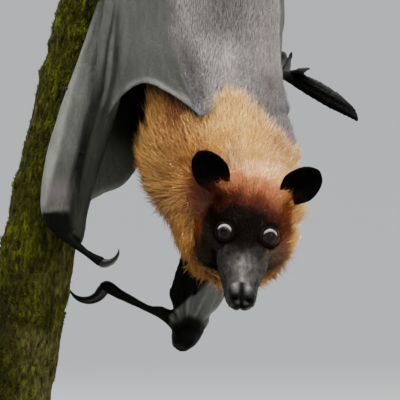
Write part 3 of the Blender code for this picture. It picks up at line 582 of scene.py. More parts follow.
def toes(ankle: Vector, around: float) -> list[tuple[Vector, Vector, Vector, float]]:
    """Start, knuckle and end of each of five toes, with its angle round the bark."""
    made = []
    for k in range(5):
        fan = (k - 2) / 2
        made.append(
            (
                perch_place(ankle.z + 14, around + fan * 0.30, 3.6),
                perch_place(ankle.z + 22, around + fan * 0.50, 4.6),
                perch_place(ankle.z + 29, around + fan * 0.60, 3.2), around + fan * 0.60
            )
        )
    return made


class Markings:
    """Which colour the skin and the coat have where."""

    cream = linear(252, 198, 112)
    gold = linear(204, 144, 62)
    honey = linear(154, 102, 38)
    rust = linear(124, 56, 14)
    tan = linear(255, 200, 142)
    amber = linear(176, 110, 70)
    red_brown = linear(70, 27, 10)
    face_dark = linear(13, 8, 5)
    cheek_grey = linear(50, 42, 30)
    cheek_warm = linear(140, 112, 90)
    muzzle_grey = linear(118, 112, 107)
    nose_pale = linear(140, 138, 136)
    back_grey = linear(132, 125, 122)
    back_pale = linear(186, 175, 170)
    back_deep = linear(92, 87, 85)
    belly_brown = linear(104, 74, 50)
    limb_brown = linear(70, 58, 52)
    wound = linear(84, 34, 40)
    black = linear(8, 7, 6)

    def face(self, points: np.ndarray) -> tuple[np.ndarray, np.ndarray]:
        """The colour of the head, with a painted highlight along the muzzle's ridge, and how much of each
        point is head rather than body.
        """
        f, u, r = head_local(points)
        wave = soft_noise(points, 5.0, 3) * 1.6 + soft_noise(points, 2.2, 4) * 0.8
        top = ramp(-4, 5, u) * (1 - ramp(11, 17, abs(r) + wave * 0.6))
        depth = f + wave + 3.0 * (1 - top)
        mix = np.tile(self.gold, (len(points), 1))
        mix = blend(mix, self.tan, top)
        mix = blend(mix, self.cream, top * ramp(-28, -37, depth) * 0.8)
        mix = blend(mix, self.red_brown, top * bell(r, 1.6) * ramp(-30, -16, depth) * 0.35)
        depth = depth + 1.8 * ramp(2, 9, r) - 3.0 * ramp(2, 9, -r)
        mix = blend(mix, self.amber, top * ramp(-25.0, -18.0, depth))
        mix = blend(mix, self.rust, (1 - top) * ramp(-20.0, -13.5, depth))
        mix = blend(mix, self.red_brown, ramp(-17.0, -9.0, depth))
        mix = blend(mix, self.face_dark, ramp(-9.5, -3.5, depth))
        sides = ramp(5.0, 10.0, abs(r)) * ramp(2.0, -4.0, u)
        mix = blend(mix, self.cheek_grey, sides * ramp(-7.0, -1.0, f + wave))
        warm = ramp(-6.0, -11.0, r) * ramp(1.0, -4.0, u) * ramp(-8.0, -2.0, f + wave)
        mix = blend(mix, self.cheek_warm, warm * 0.85)
        muzzle = ramp(5.5, 12.0, FaceRelief.down(f, u) + wave * 1.1) * ramp(17.0, 12.5, abs(r) + wave * 0.5)
        muzzle *= ramp(1.0, 6.0, f)
        mottle = np.clip(
            1.0 + 0.75 * soft_noise(points, 1.9, 13) + 0.45 * soft_noise(points, 0.9, 14), 0.2, 2.2
        )
        tone = (0.10 + 0.20 * ramp(3, -3, r)) * mottle
        mix = blend(mix, self.muzzle_grey * tone[:, None], muzzle * 0.92)
        # Painted highlight along the muzzle's ridge.
        ridge = muzzle * bell(r, 3.6) * ramp(-8, -2, u)
        ridge = ridge * ramp(7.0, 14.0, FaceRelief.down(f, u))
        mix = blend(mix, self.muzzle_grey * 0.95 * mottle[:, None], ridge * 0.85)
        mix = blend(mix, self.face_dark, muzzle * ramp(-8, -14, u) * 0.6)
        mix = blend(
            mix, self.face_dark, bell(r + 7.0, 1.8) * bell(FaceRelief.down(f, u) - 10.0, 3.0) * muzzle * 0.7
        )
        for side in (-1, 1):
            eye = np.array(Eye.centre(side))
            near = np.linalg.norm(points - eye, axis=1)
            mix = blend(mix, self.face_dark * 0.8, (1 - ramp(5.5, 7.6, near + wave * 0.7)) * 0.8)
            for ahead, lift, out in ((-0.8, 6.8, 5.2), (0.8, 5.4, 4.3)):
                brow = np.array(head_place(ahead, lift, out * side))
                streak = bell(np.linalg.norm(points - brow, axis=1), 0.8)
                mix = blend(mix, self.muzzle_grey, streak * 0.5)
        mix = blend(mix, self.rust, bell(r + 16.5 + wave, 2.2) * ramp(12, 5, f) * 0.6)
        mix = blend(mix, self.cream, ramp(-16.5, -20.0, r + wave * 0.9) * ramp(15, 8, f) * 0.95)
        mix = blend(mix, self.face_dark, ramp(13, 17, r) * bell(f + 1, 8.0) * 0.7)
        mix = blend(mix, self.rust, bell(r - 23 + wave, 2.6) * 0.7)
        mix = blend(mix, self.gold, ramp(24.0, 27.5, r + wave * 0.8))
        head = ramp(-33, -24, f) * ramp(-26, -19, u) * (1 - ramp(21, 29, abs(r - 3.5) + wave * 0.8))
        return mix, head

    def mantle_edge(self, points: np.ndarray) -> np.ndarray:
        """The height at which the golden mantle gives way to the back."""
        x = points[:, 0]
        dorsal = dorsal_reach(points)
        edge = 199 + 6.0 * bell(x - 39, 9.0) - 6.0 * bell(x - 25, 4.0) - 1.0 * np.maximum(x - 47, 0)
        edge += 14.0 * ramp(22, 15, x)
        return edge + 14.0 * ramp(-6, -18, dorsal)

    def body(self, points: np.ndarray) -> np.ndarray:
        """The colour of the neck and trunk, with painted shadow under the wing's free edge and beside its
        fold, and painted shade in the hollow of the back.
        """
        x, height = points[:, 0], points[:, 2]
        wave = soft_noise(points, 7.0, 5)
        fine = soft_noise(points * np.array((1.0, 1.0, 0.35)), 2.4, 6)
        dorsal = dorsal_reach(points)
        mantle = blend(
            np.tile(self.cream, (len(points), 1)), self.gold, ramp(-0.2, 1.2, wave + fine * 0.5) * 0.8
        )
        flank = ramp(33, 12, x + wave * 3)
        mantle = blend(mantle, self.honey, flank * 0.7)
        middle = bell(x - 36, 11.0) * bell(height - 190, 16.0)
        mantle = blend(mantle, self.cream, middle * (0.75 + 0.25 * fine))
        mantle = blend(mantle, self.tan, ramp(50, 58, x + wave * 2) * 0.5)
        patch = bell(x - 14, 6.0) * bell(height - 193, 11.0)
        patch = patch + bell(x - 20, 4.0) * bell(height - 176, 12.0) * 0.7
        mantle = blend(mantle, self.rust, patch * (0.75 + 0.3 * fine))
        mantle = blend(
            mantle, self.red_brown, bell(x - 19, 5.0) * bell(height - 198, 6.0) * (0.6 + 0.4 * fine)
        )
        mantle = blend(mantle, self.rust, bell(x - 25, 3.6) * bell(height - 198, 11.0) * (0.55 + 0.4 * fine))
        shadow = ramp(0.0, 3.0, height + wave * 0.6 - 201.5 + 0.42 * np.maximum(x - 3, 0)) * ramp(26, 23, x)
        mantle = blend(mantle, self.black, shadow * 0.92)
        low = ramp(176, 140, height)
        mantle = blend(mantle, self.honey, low * 0.5)
        mantle = blend(mantle, self.rust, low * ramp(0.2, 1.0, fine) * 0.45)
        back = blend(
            np.tile(self.back_grey, (len(points), 1)), self.back_deep,
            ramp(0.0, 1.0, fine + wave * 0.4) * 0.4
        )
        ridge, _ = line_distance(
            points, [(31, 0, 205), (27, 0, 216), (20, 0, 232), (16, 0, 250), (12, 0, 285)], (0, 2)
        )
        back = blend(back, self.back_pale, bell(ridge, 4.0) * (0.2 + 0.3 * fine) * ramp(-5, 10, dorsal))
        lobe = bell(x - 35 + wave * 2, 7.5) * bell(height - 219, 8.5) * ramp(-5, 10, dorsal)
        back = blend(back, self.back_pale, lobe * (0.6 + 0.3 * fine))
        back = blend(back, self.back_pale, ramp(44, 54, x + wave * 2) * ramp(205, 225, height) * 0.5)
        back = blend(back, self.back_deep, ramp(46, 56, x + wave * 2) * ramp(218, 206, height) * 0.6)
        # Painted shade in the hollow between the shoulder blades.
        hollow = bell(x - 35, 8.5) * ramp(226, 238, height)
        back = blend(back, self.back_deep, hollow * 0.8 * ramp(0, 12, dorsal))
        back = blend(back, self.back_deep * 0.45, bell(x - 22, 6.0) * ramp(228, 214, height) * 0.95)
        back = blend(
            back, self.wound, bell(x - 57.4, 1.3) * bell(height - 208.6, 1.6) * ramp(0, 5, dorsal) * 0.9
        )
        belly = blend(
            np.tile(self.belly_brown, (len(points), 1)), self.gold, ramp(0.2, 1.2, fine + wave) * 0.5
        )
        back = blend(back, belly, ramp(3, -9, dorsal + wave * 3))
        edge = self.mantle_edge(points) + wave * 2.0 + fine * 2.5
        colour = blend(mantle, back, ramp(-4, 4, height - edge))
        # Painted shadow in the gap between the wing's fold and the mantle.
        gap_shadow = bell(x - 25.5, 2.6) * bell(height - 204.5, 6.0) * ramp(0, 6, dorsal)
        return blend(colour, self.face_dark, gap_shadow * 0.85)


def blend(first: np.ndarray, second: np.ndarray, share: np.ndarray) -> np.ndarray:
    """The first colours, with that share of the second mixed in."""
    return first + (second - first) * np.clip(share, 0, 1)[:, None]


class BodySkin:
    """The skin under the coat: it lies inside the body's outline by the coat's depth."""

    limbs = {
        Part.THIGH: ("thigh_left", "thigh_right"), Part.SHANK: ("shank_left", "shank_right"),
        Part.FOOT: ("foot_left", "foot_right"), Part.ARM: ("upper_arm_left", "upper_arm_right")
    }
    core = ("head", "neck", "trunk")

    def __init__(self, nodes: dict, markings: Markings) -> None:
        """Melts the body, finds its parts, draws the skin in and sculpts the face."""
        self.nodes = nodes
        self.markings = markings
        self.surface = BodyShape().build()
        self.refine_face()
        self.surface.even_out(3)
        self.parts = self.find_parts()
        rows = np.array([LIES[part].row() for part in Part])
        self.lies = self.parts @ rows
        f, u, r = head_local(self.surface.points)
        ruff = ramp(-13, -17, r) * bell(f - 1, 11.0) * ramp(-20, -12, u)
        self.lies[:, 1] *= 1 + 1.1 * ruff
        self.lies[:, 3] *= 1 + 0.5 * ruff
        self.outline = self.surface.points.copy()
        self.surface.move(self.outline - self.surface.normals * self.lies[:, :1])
        self.surface.even_out(4, 0.8)
        FaceRelief().sculpt(self.surface)
        self.colours = self.paint()
        self.lay = self.lay_of_coat()

    def refine_face(self) -> None:
        """Divides the skin more finely towards the eyes and the nose."""
        bm = bmesh.new()
        bm.from_mesh(self.surface.obj.data)
        eyes = [Eye.centre(side) for side in (-1, 1)]
        nose = head_place(34, -7, 0)
        for rings in ((20.0, 26.0), (8.6, 8.0)):
            chosen = []
            for edge in bm.edges:
                middle = (edge.verts[0].co + edge.verts[1].co) / 2 / MM
                eye_near = min((middle - eye).length for eye in eyes)
                if eye_near < rings[0] * 0.95 or (middle - nose).length < rings[1]:
                    chosen.append(edge)
            bmesh.ops.subdivide_edges(bm, edges=chosen, cuts=1, use_grid_fill=True)
        bmesh.ops.triangulate(bm, faces=[face for face in bm.faces if len(face.verts) > 4])
        bm.to_mesh(self.surface.obj.data)
        bm.free()
        self.surface.obj.data.shade_smooth()
        self.surface.read()

    def find_parts(self) -> np.ndarray:
        """How much of each point belongs to each part: one column for each Part, rows that add up to 1."""
        points, edges = self.surface.points, self.surface.edges
        names = [*self.core, *(name for group in self.limbs.values() for name in group)]
        corners, faces, owners = [], [], []
        for index, name in enumerate(names):
            mesh = self.nodes[name].data
            start = len(corners)
            corners += [vert.co / MM for vert in mesh.vertices]
            faces += [[start + v for v in poly.vertices] for poly in mesh.polygons]
            owners += [index] * len(mesh.polygons)
        tree = BVHTree.FromPolygons(corners, faces)
        nearest = np.array([owners[tree.find_nearest(Vector(p))[2]] for p in points])
        columns = {part: np.zeros(len(points)) for part in Part}
        for part, group in self.limbs.items():
            member = np.isin(nearest, [names.index(name) for name in group]).astype(float)
            columns[part] = spread(member, edges, 8)
        body = np.clip(1 - sum(columns.values()), 0, 1)
        f, u, r = head_local(points)
        head = ramp(-24, -17, u) * (1 - ramp(19, 25, abs(r)))
        muzzle = ramp(6, 13, f) * head
        face = ramp(-14, -6, f) * head * (1 - muzzle)
        crown = ramp(-42, -34, f) * ramp(-8, 0, u) * (1 - ramp(16, 22, abs(r))) * head
        crown *= 1 - muzzle - face
        edge = self.markings.mantle_edge(points)
        rest = 1 - muzzle - face - crown
        mantle = rest * ramp(4, -5, points[:, 2] - edge)
        dorsal = dorsal_reach(points)
        back = (rest - mantle) * ramp(-8, 4, dorsal)
        shares = {
            Part.MUZZLE: muzzle, Part.FACE: face, Part.CROWN: crown, Part.MANTLE: mantle, Part.BACK: back,
            Part.BELLY: rest - mantle - back
        }
        for part, share in shares.items():
            columns[part] = share * body
        made = np.stack([columns[part] for part in Part], axis=1)
        return made / np.maximum(made.sum(axis=1, keepdims=True), 1e-6)

    def paint(self) -> np.ndarray:
        """Colours the skin, with painted shade under the coat and in its hollows and painted highlights in
        the nostrils, and returns the coat's colours at its points.
        """
        points = self.outline
        colours = self.markings.body(points)
        face, head = self.markings.face(points)
        colours = blend(colours, face, head)
        colours = blend(colours, self.markings.limb_brown, self.share_of(Part.THIGH, Part.ARM) * 0.85)
        colours = blend(colours, self.markings.black * 1.6, self.share_of(Part.SHANK, Part.FOOT))
        # The skin is the coat's colour darkened as painted shade, and darker still in hollows.
        hollow = ramp(0.0, 0.12, self.surface.hollowness())
        skin = colours * (0.82 - 0.3 * hollow)[:, None]
        f, u, r = head_local(self.surface.points)
        pad = FaceRelief.pad(f, u, r)
        down = FaceRelief.down(f, u)
        lobe = pad * bell(down - 22.2, 2.2) * bell(abs(r) - 3.0, 1.4)
        skin = blend(skin, self.markings.black, pad)
        skin = blend(skin, self.markings.nose_pale, lobe * 0.6)
        # Painted highlight: small grey spots at the inner edge of each nostril.
        skin = blend(
            skin, self.markings.nose_pale * 0.4,
            pad * bell(down - 29.6, 0.8) * bell(abs(r) - 1.6, 0.8) * 0.4
        )
        lips = bell(u - FaceRelief.mouth_height(f), 0.9) * ramp(2, 8, f)
        skin = blend(skin, self.markings.black, lips * 0.8)
        self.surface.paint(skin)
        return colours

    def share_of(self, *kinds: Part) -> np.ndarray:
        """How much of each point belongs to those parts together."""
        return sum(self.parts[:, list(Part).index(kind)] for kind in kinds)

    def lay_of_coat(self) -> np.ndarray:
        """The direction in which the coat lies at each point, along the skin."""
        points = self.surface.points
        f, u, r = head_local(points)
        back = -np.array(SNOUT)
        height = points[:, 2]
        axis = np.array((36.0, -12.0))
        out = points[:, :2] - axis
        out = np.hstack([out, np.zeros((len(out), 1))]) / np.maximum(
            np.linalg.norm(out, axis=1), 1.0
        )[:, None]
        rise = ramp(150, 186, height) * 2.0 - 1.0
        flow = np.array(UP) * rise[:, None] + out * (0.9 - 0.9 * ramp(180, 215, height))[:, None]
        on_head = ramp(-40, -26, f) * ramp(-24, -16, u) * (1 - ramp(19, 24, abs(r)))
        fan = np.array(HEAD_RIGHT) * (np.sign(r) * ramp(2, 18, abs(r)) * 0.7)[:, None]
        flow = flow * (1 - on_head[:, None]) + (back + fan) * on_head[:, None]
        for share in (self.share_of(Part.SHANK, Part.FOOT), self.share_of(Part.ARM)):
            flow = flow + np.array(UP) * share[:, None]
        normals = self.surface.normals
        flow = flow - normals * np.einsum("ij,ij->i", flow, normals)[:, None]
        return unit(spread(unit(flow), self.surface.edges, 6))


class FaceRelief:
    """What is sculpted into the skin of the face: lids, brows, nostrils, the nose's groove and the lips."""

    nostril = (28.4, 3.15)
    lid_open = 0.66

    @staticmethod
    def down(f: np.ndarray, u: np.ndarray) -> np.ndarray:
        """How far down the slope of the nose's face each point lies."""
        return 0.788 * f - 0.616 * u

    @classmethod
    def pad(cls, f: np.ndarray, u: np.ndarray, r: np.ndarray) -> np.ndarray:
        """How much of each point is the nose's bare pad."""
        apart = np.sqrt(((cls.down(f, u) - 26.6) / 5.9) ** 2 + (r / 5.9) ** 2)
        return (1 - ramp(0.90, 1.08, apart)) * ramp(22.0, 24.5, f) * ramp(-11.5, -9.5, u)

    @staticmethod
    def mouth_height(f: np.ndarray) -> np.ndarray:
        """How high the line between the lips runs."""
        return -11.6 - 0.7 * np.sin((f - 4) / 9.0)

    def sculpt(self, surface: Surface) -> None:
        """Moves the face's points."""
        points, normals = surface.points.copy(), surface.normals
        f, u, r = head_local(points)
        shift = np.zeros(len(points))
        pad = self.pad(f, u, r)
        down = self.down(f, u)
        for side in (-1, 1):
            shift += 0.55 * bell(down - 23.2, 2.8) * bell(r - 3.1 * side, 1.7) * pad
            hole = np.sqrt(
                ((down - self.nostril[0]) / 1.55) ** 2 + ((r - self.nostril[1] * side) / 1.35) ** 2
            )
            shift -= 2.1 * (1 - ramp(0.35, 1.15, hole)) * pad
            shift += 0.40 * bell(hole - 1.5, 0.32) * pad
            brow = bell(f + 3.0, 5.0) * bell(u - 7.4, 2.6) * bell(r - 8.0 * side, 5.0)
            shift += 0.5 * brow
            cheek = bell(f - 12, 6.0) * bell(u + 8.5, 4.0) * bell(r - 9.0 * side, 4.0)
            shift += 0.6 * cheek
        shift -= 1.0 * bell(r, 0.75) * ramp(20.0, 22.5, down) * ramp(22, 25, f) * ramp(-13, -11, u)
        shift -= 0.30 * bell(down - 20.4, 0.9) * (1 - ramp(4.5, 6.0, abs(r))) * ramp(20, 23, f)
        lips = bell(u - self.mouth_height(f), 0.75) * ramp(1, 6, f) * (1 - ramp(31.5, 33.5, f))
        shift -= 0.75 * lips
        above = bell(u - self.mouth_height(f) - 1.7, 0.9) * ramp(4, 9, f)
        shift += 0.25 * above
        bridge = bell(r, 3.2) * bell(f - 17, 8.0) * ramp(-6, -2, u)
        shift += 0.45 * bridge
        folds = np.sin((f + soft_noise(points, 5.0, 9) * 2.0) * 1.9) * 0.09
        shift += folds * ramp(9, 14, f) * (1 - ramp(29, 31, f)) * ramp(3.0, 6.0, abs(r))
        shift += soft_noise(points, 1.3, 11) * 0.09 * ramp(4, 12, f) * (1 - pad)
        points = points + normals * shift[:, None]
        for side in (-1, 1):
            points = self.lids(points, side)
        surface.move(points)

    def lids(self, points: np.ndarray, side: int) -> np.ndarray:
        """Draws the skin round one eyeball: a rim round the opening, folds above and below it."""
        centre = np.array(Eye.centre(side))
        gaze = np.array(Eye.gaze(side))
        away = points - centre
        reach = np.linalg.norm(away, axis=1)
        way = away / np.maximum(reach, 1e-6)[:, None]
        angle = np.arccos(np.clip(way @ gaze, -1, 1))
        lift = way @ np.array(CROWN) - (gaze @ np.array(CROWN)) * (way @ gaze)
        opening = self.lid_open + 0.16 * np.abs(lift)
        ball = Eye.radius
        past = angle - opening
        rim = ball + 0.34 + 0.12 * bell(past - 0.07, 0.07) - 0.10 * bell(past - 0.30, 0.10)
        rim += 0.12 * bell(past - 0.52, 0.12) + 0.07 * soft_noise(points, 0.9, 12)
        inside = ball - 1.3
        wanted = inside + (rim - inside) * ramp(-0.10, 0.05, past)
        hold = 1 - ramp(0.45, 0.95, past)
        hold *= 1 - ramp(9.0, 11.0, reach)
        reach_new = reach + (wanted - reach) * hold
        return centre + way * reach_new[:, None]


class Eye:
    """An eyeball with its dark iris, pupil and clear front."""

    radius = 5.2
    places = {1: (1.9, 1.8, 8.9), -1: (1.3, 2.6, 8.9)}
    look = (0.62, 0.72, 0.30)
    iris = linear(26, 14, 8)
    iris_rim = linear(9, 6, 5)
    pupil = linear(5, 4, 4)
    sclera_and_catchlight = linear(118, 115, 114)

    @staticmethod
    def centre(side: int) -> Vector:
        """The eyeball's middle; side is 1 on the bat's right."""
        forward, up, right = Eye.places[side]
        return head_place(forward, up, right * side)

    @staticmethod
    def gaze(side: int) -> Vector:
        """The direction in which the eye looks."""
        ahead, lift, out = Eye.look
        return (SNOUT * ahead + CROWN * lift + HEAD_RIGHT * out * side).normalized()

    def build(self, name: str, side: int) -> bpy.types.Object:
        """Makes the eyeball, with its clear front a little proud, and paints iris, pupil and a pale crescent
        at the top that is partly sclera and partly a painted reflection of the light above.
        """
        bm = bmesh.new()
        bmesh.ops.create_uvsphere(bm, u_segments=96, v_segments=72, radius=self.radius)
        gaze = self.gaze(side)
        bmesh.ops.rotate(bm, verts=bm.verts, matrix=gaze.to_track_quat("Z", "Y").to_matrix())
        bmesh.ops.translate(bm, verts=bm.verts, vec=self.centre(side))
        surface = Surface(new_object(name, bm))
        way = unit(surface.points - np.array(self.centre(side)))
        angle = np.degrees(np.arccos(np.clip(way @ np.array(gaze), -1, 1)))
        across = way - np.array(gaze) * (way @ np.array(gaze))[:, None]
        surface.move(surface.points + way * (0.35 * bell(angle, 26.0))[:, None])
        rays = soft_noise(unit(across) * 9.0, 0.8, 21)
        middle = (gaze - CROWN * 0.15 - HEAD_RIGHT * (0.07 * side)).normalized()
        angle = np.degrees(np.arccos(np.clip(way @ np.array(middle), -1, 1)))
        colour = np.tile(self.iris, (len(way), 1)) * (1.0 + 0.35 * rays)[:, None]
        colour = blend(colour, self.iris_rim, ramp(26, 31, angle))
        # The pale crescent at the top is partly sclera and partly a painted reflection of the light above.
        top = way @ np.array((CROWN - gaze * CROWN.dot(gaze) + HEAD_RIGHT * (0.25 * side)).normalized())
        colour = blend(colour, self.sclera_and_catchlight, ramp(31, 38, angle) * ramp(0.14, 0.44, top))
        colour = blend(colour, self.pupil, 1 - ramp(15, 19, angle))
        surface.paint(colour)
        return surface.obj


@dataclass(frozen=True)
class TuftShape:
    """A tuft's form: its rings, how flat it is and how it narrows."""

    rings: int = 3
    flatness: float = 0.5
    sink: float = 0.35
    sway: float = 0.22

    def triangles(self) -> int:
        """Triangles in one tuft: the sides, the tip and the closed root."""
        return (self.rings - 1) * 6 + 3 + 1

    def faces(self) -> np.ndarray:
        """The triangles of one tuft as point numbers."""
        made = [(2, 1, 0)]
        for ring in range(self.rings - 1):
            for side in range(3):
                low, next_low = ring * 3 + side, ring * 3 + (side + 1) % 3
                made += [(low, next_low, next_low + 3), (low, next_low + 3, low + 3)]
        last = (self.rings - 1) * 3
        made += [(last + side, last + (side + 1) % 3, self.rings * 3) for side in range(3)]
        return np.array(made)


@dataclass
class Roots:
    """Where tufts grow: places, normals, lie, colours, sizes and their place on the skin's unwrap."""

    points: np.ndarray
    normals: np.ndarray
    lay: np.ndarray
    colours: np.ndarray
    length: np.ndarray
    width: np.ndarray
    lift: np.ndarray
    mess: np.ndarray
    spot: np.ndarray

    @classmethod
    def alike(cls, places: np.ndarray, read: np.ndarray, lie: Lie) -> Roots:
        """Roots of one size.

        Args:
            places: Where they are.
            read: Rows of normal, lie, colour and place on the unwrap.
            lie: The length, width, lift and mess of every tuft.

        Returns:
            The roots.
        """
        named = ("length", lie.length), ("width", lie.width), ("lift", lie.lift), ("mess", lie.mess)
        sizes = {name: np.full(len(places), value) for name, value in named}
        normals, lay = unit(read[:, :3]), unit(read[:, 3:6])
        return cls(points=places, normals=normals, lay=lay, colours=read[:, 6:9], spot=read[:, 9:11], **sizes)

    def only(self, chosen: np.ndarray) -> Roots:
        """The chosen ones."""
        return Roots(**{name: values[chosen] for name, values in self.__dict__.items()})


class Coat:
    """The coat: joined tufts that follow the lie of the hair, in pieces by part of the body."""

    patch = 0.003
    piece_limit = 190_000

    def __init__(self, seed: int = 7) -> None:
        """Starts the draws."""
        self.random = np.random.default_rng(seed)

    def scatter(
        self, surface: Surface, density: np.ndarray, values: np.ndarray
    ) -> tuple[np.ndarray, np.ndarray]:
        """Picks places all over a surface.

        Args:
            surface: The skin.
            density: Tufts per square millimetre at each of its points.
            values: Rows of numbers at its points, to be read at the places.

        Returns:
            The places, and the values there.
        """
        corners = surface.triangles()
        a, b, c = (surface.points[corners[:, k]] for k in range(3))
        area = np.linalg.norm(np.cross(b - a, c - a), axis=1) / 2
        wanted = area * density[corners].mean(axis=1)
        count = np.floor(wanted + self.random.random(len(wanted))).astype(int)
        index = np.repeat(np.arange(len(corners)), count)
        s, t = self.random.random((2, len(index)))
        turn = s + t > 1
        s, t = np.where(turn, 1 - s, s), np.where(turn, 1 - t, t)
        weights = np.stack([1 - s - t, s, t], axis=1)[:, :, None]
        chosen = corners[index]
        return (surface.points[chosen] * weights).sum(axis=1), (values[chosen] * weights).sum(axis=1)

    def grow(self, name: str, roots: Roots, shape: TuftShape) -> bpy.types.Object:
        """Makes one piece of coat.

        Args:
            name: The piece's name.
            roots: Where its tufts grow.
            shape: Their form.

        Returns:
            The piece, with its colours and its OFBake map.
        """
        count = len(roots.points)
        draw = self.random.standard_normal
        clump = np.stack([soft_noise(roots.points, 4.5, 30 + k) for k in range(3)], axis=1)
        wander = (clump * 0.8 + draw((count, 3)) * 0.55) * roots.mess[:, None]
        lay = roots.lay + wander
        lay = unit(lay - roots.normals * np.einsum("ij,ij->i", lay, roots.normals)[:, None])
        across = np.cross(roots.normals, lay)
        lift = np.radians(roots.lift * (1 + 0.22 * draw(count)))[:, None]
        start = lay * np.cos(lift * 1.35) + roots.normals * np.sin(lift * 1.35)
        side = across * (draw((count, 1)) * shape.sway)
        end = lay * np.cos(lift * 0.45) + roots.normals * np.sin(lift * 0.45) + side
        length = (roots.length * np.exp(draw(count) * 0.20))[:, None]
        width = roots.width * (0.8 + 0.4 * self.random.random(count))
        rings = []
        for ring in range(shape.rings):
            t = ring / shape.rings
            place = roots.points - roots.normals * shape.sink + length * (
                t * start + t * t * (end - start) / 2
            )
            over = unit(np.cross(unit(start + (end - start) * t), across))
            narrow = (0.75 + 0.9 * t) if t < 0.3 else 1.02 * (1 - ((t - 0.3) / 0.78) ** 1.6)
            half = (width * narrow / 2)[:, None]
            rings += [
                place + across * half - over * half * shape.flatness * 0.6,
                place - across * half - over * half * shape.flatness * 0.6,
                place + over * half * shape.flatness * 1.2
            ]
        tip = roots.points - roots.normals * shape.sink + length * (start + end) / 2
        points = np.stack([*rings, tip], axis=1)
        per_tuft = points.shape[1]
        faces = shape.faces()[None] + (np.arange(count) * per_tuft)[:, None, None]
        obj = array_object(name, points.reshape(-1, 3), faces.reshape(-1, 3))
        share = np.append(np.repeat(np.arange(shape.rings) / shape.rings, 3), 1.0)
        clumps = soft_noise(roots.points, 2.4, 36) * 0.16 + soft_noise(roots.points, 6.0, 37) * 0.08
        tone = np.exp(draw(count) * 0.13 + clumps)[:, None] * (0.76 + 0.28 * share**0.8)[None, :]
        colours = roots.colours[:, None, :] * tone[:, :, None]
        Surface(obj).paint(colours.reshape(-1, 3))
        self.unwrap(obj, roots.spot, share, per_tuft)
        return obj

    def unwrap(self, obj: bpy.types.Object, spot: np.ndarray, share: np.ndarray, per_tuft: int) -> None:
        """Gives each tuft its patch at its root's place on the unwrap of the skin."""
        low, high = spot.min(axis=0), spot.max(axis=0)
        place = 0.01 + 0.975 * (spot - low) / np.maximum(high - low, 1e-6)
        sides = np.append(np.tile((0.0, 1.0, 0.5), (per_tuft - 1) // 3), 0.5)
        local = np.stack([sides, share], axis=1) * self.patch
        where = (place[:, None, :] + local[None]).reshape(-1, 2)
        corners = np.empty(len(obj.data.loops), int)
        obj.data.loops.foreach_get("vertex_index", corners)
        layer = obj.data.uv_layers.new(name="OFBake")
        layer.uv.foreach_set("vector", where[corners].astype(np.float32).ravel())

    def pieces(self, name: str, roots: Roots, shape: TuftShape) -> list[bpy.types.Object]:
        """Makes as many pieces as the limit on triangles asks for, parted by height."""
        parts = max(1, math.ceil(len(roots.points) * shape.triangles() / self.piece_limit))
        order = np.argsort(roots.points[:, 2])
        chunks = np.array_split(order, parts)
        names = [name if parts == 1 else f"{name}_{k + 1}" for k in range(parts)]
        return [self.grow(piece, roots.only(chunk), shape) for piece, chunk in zip(names, chunks)]


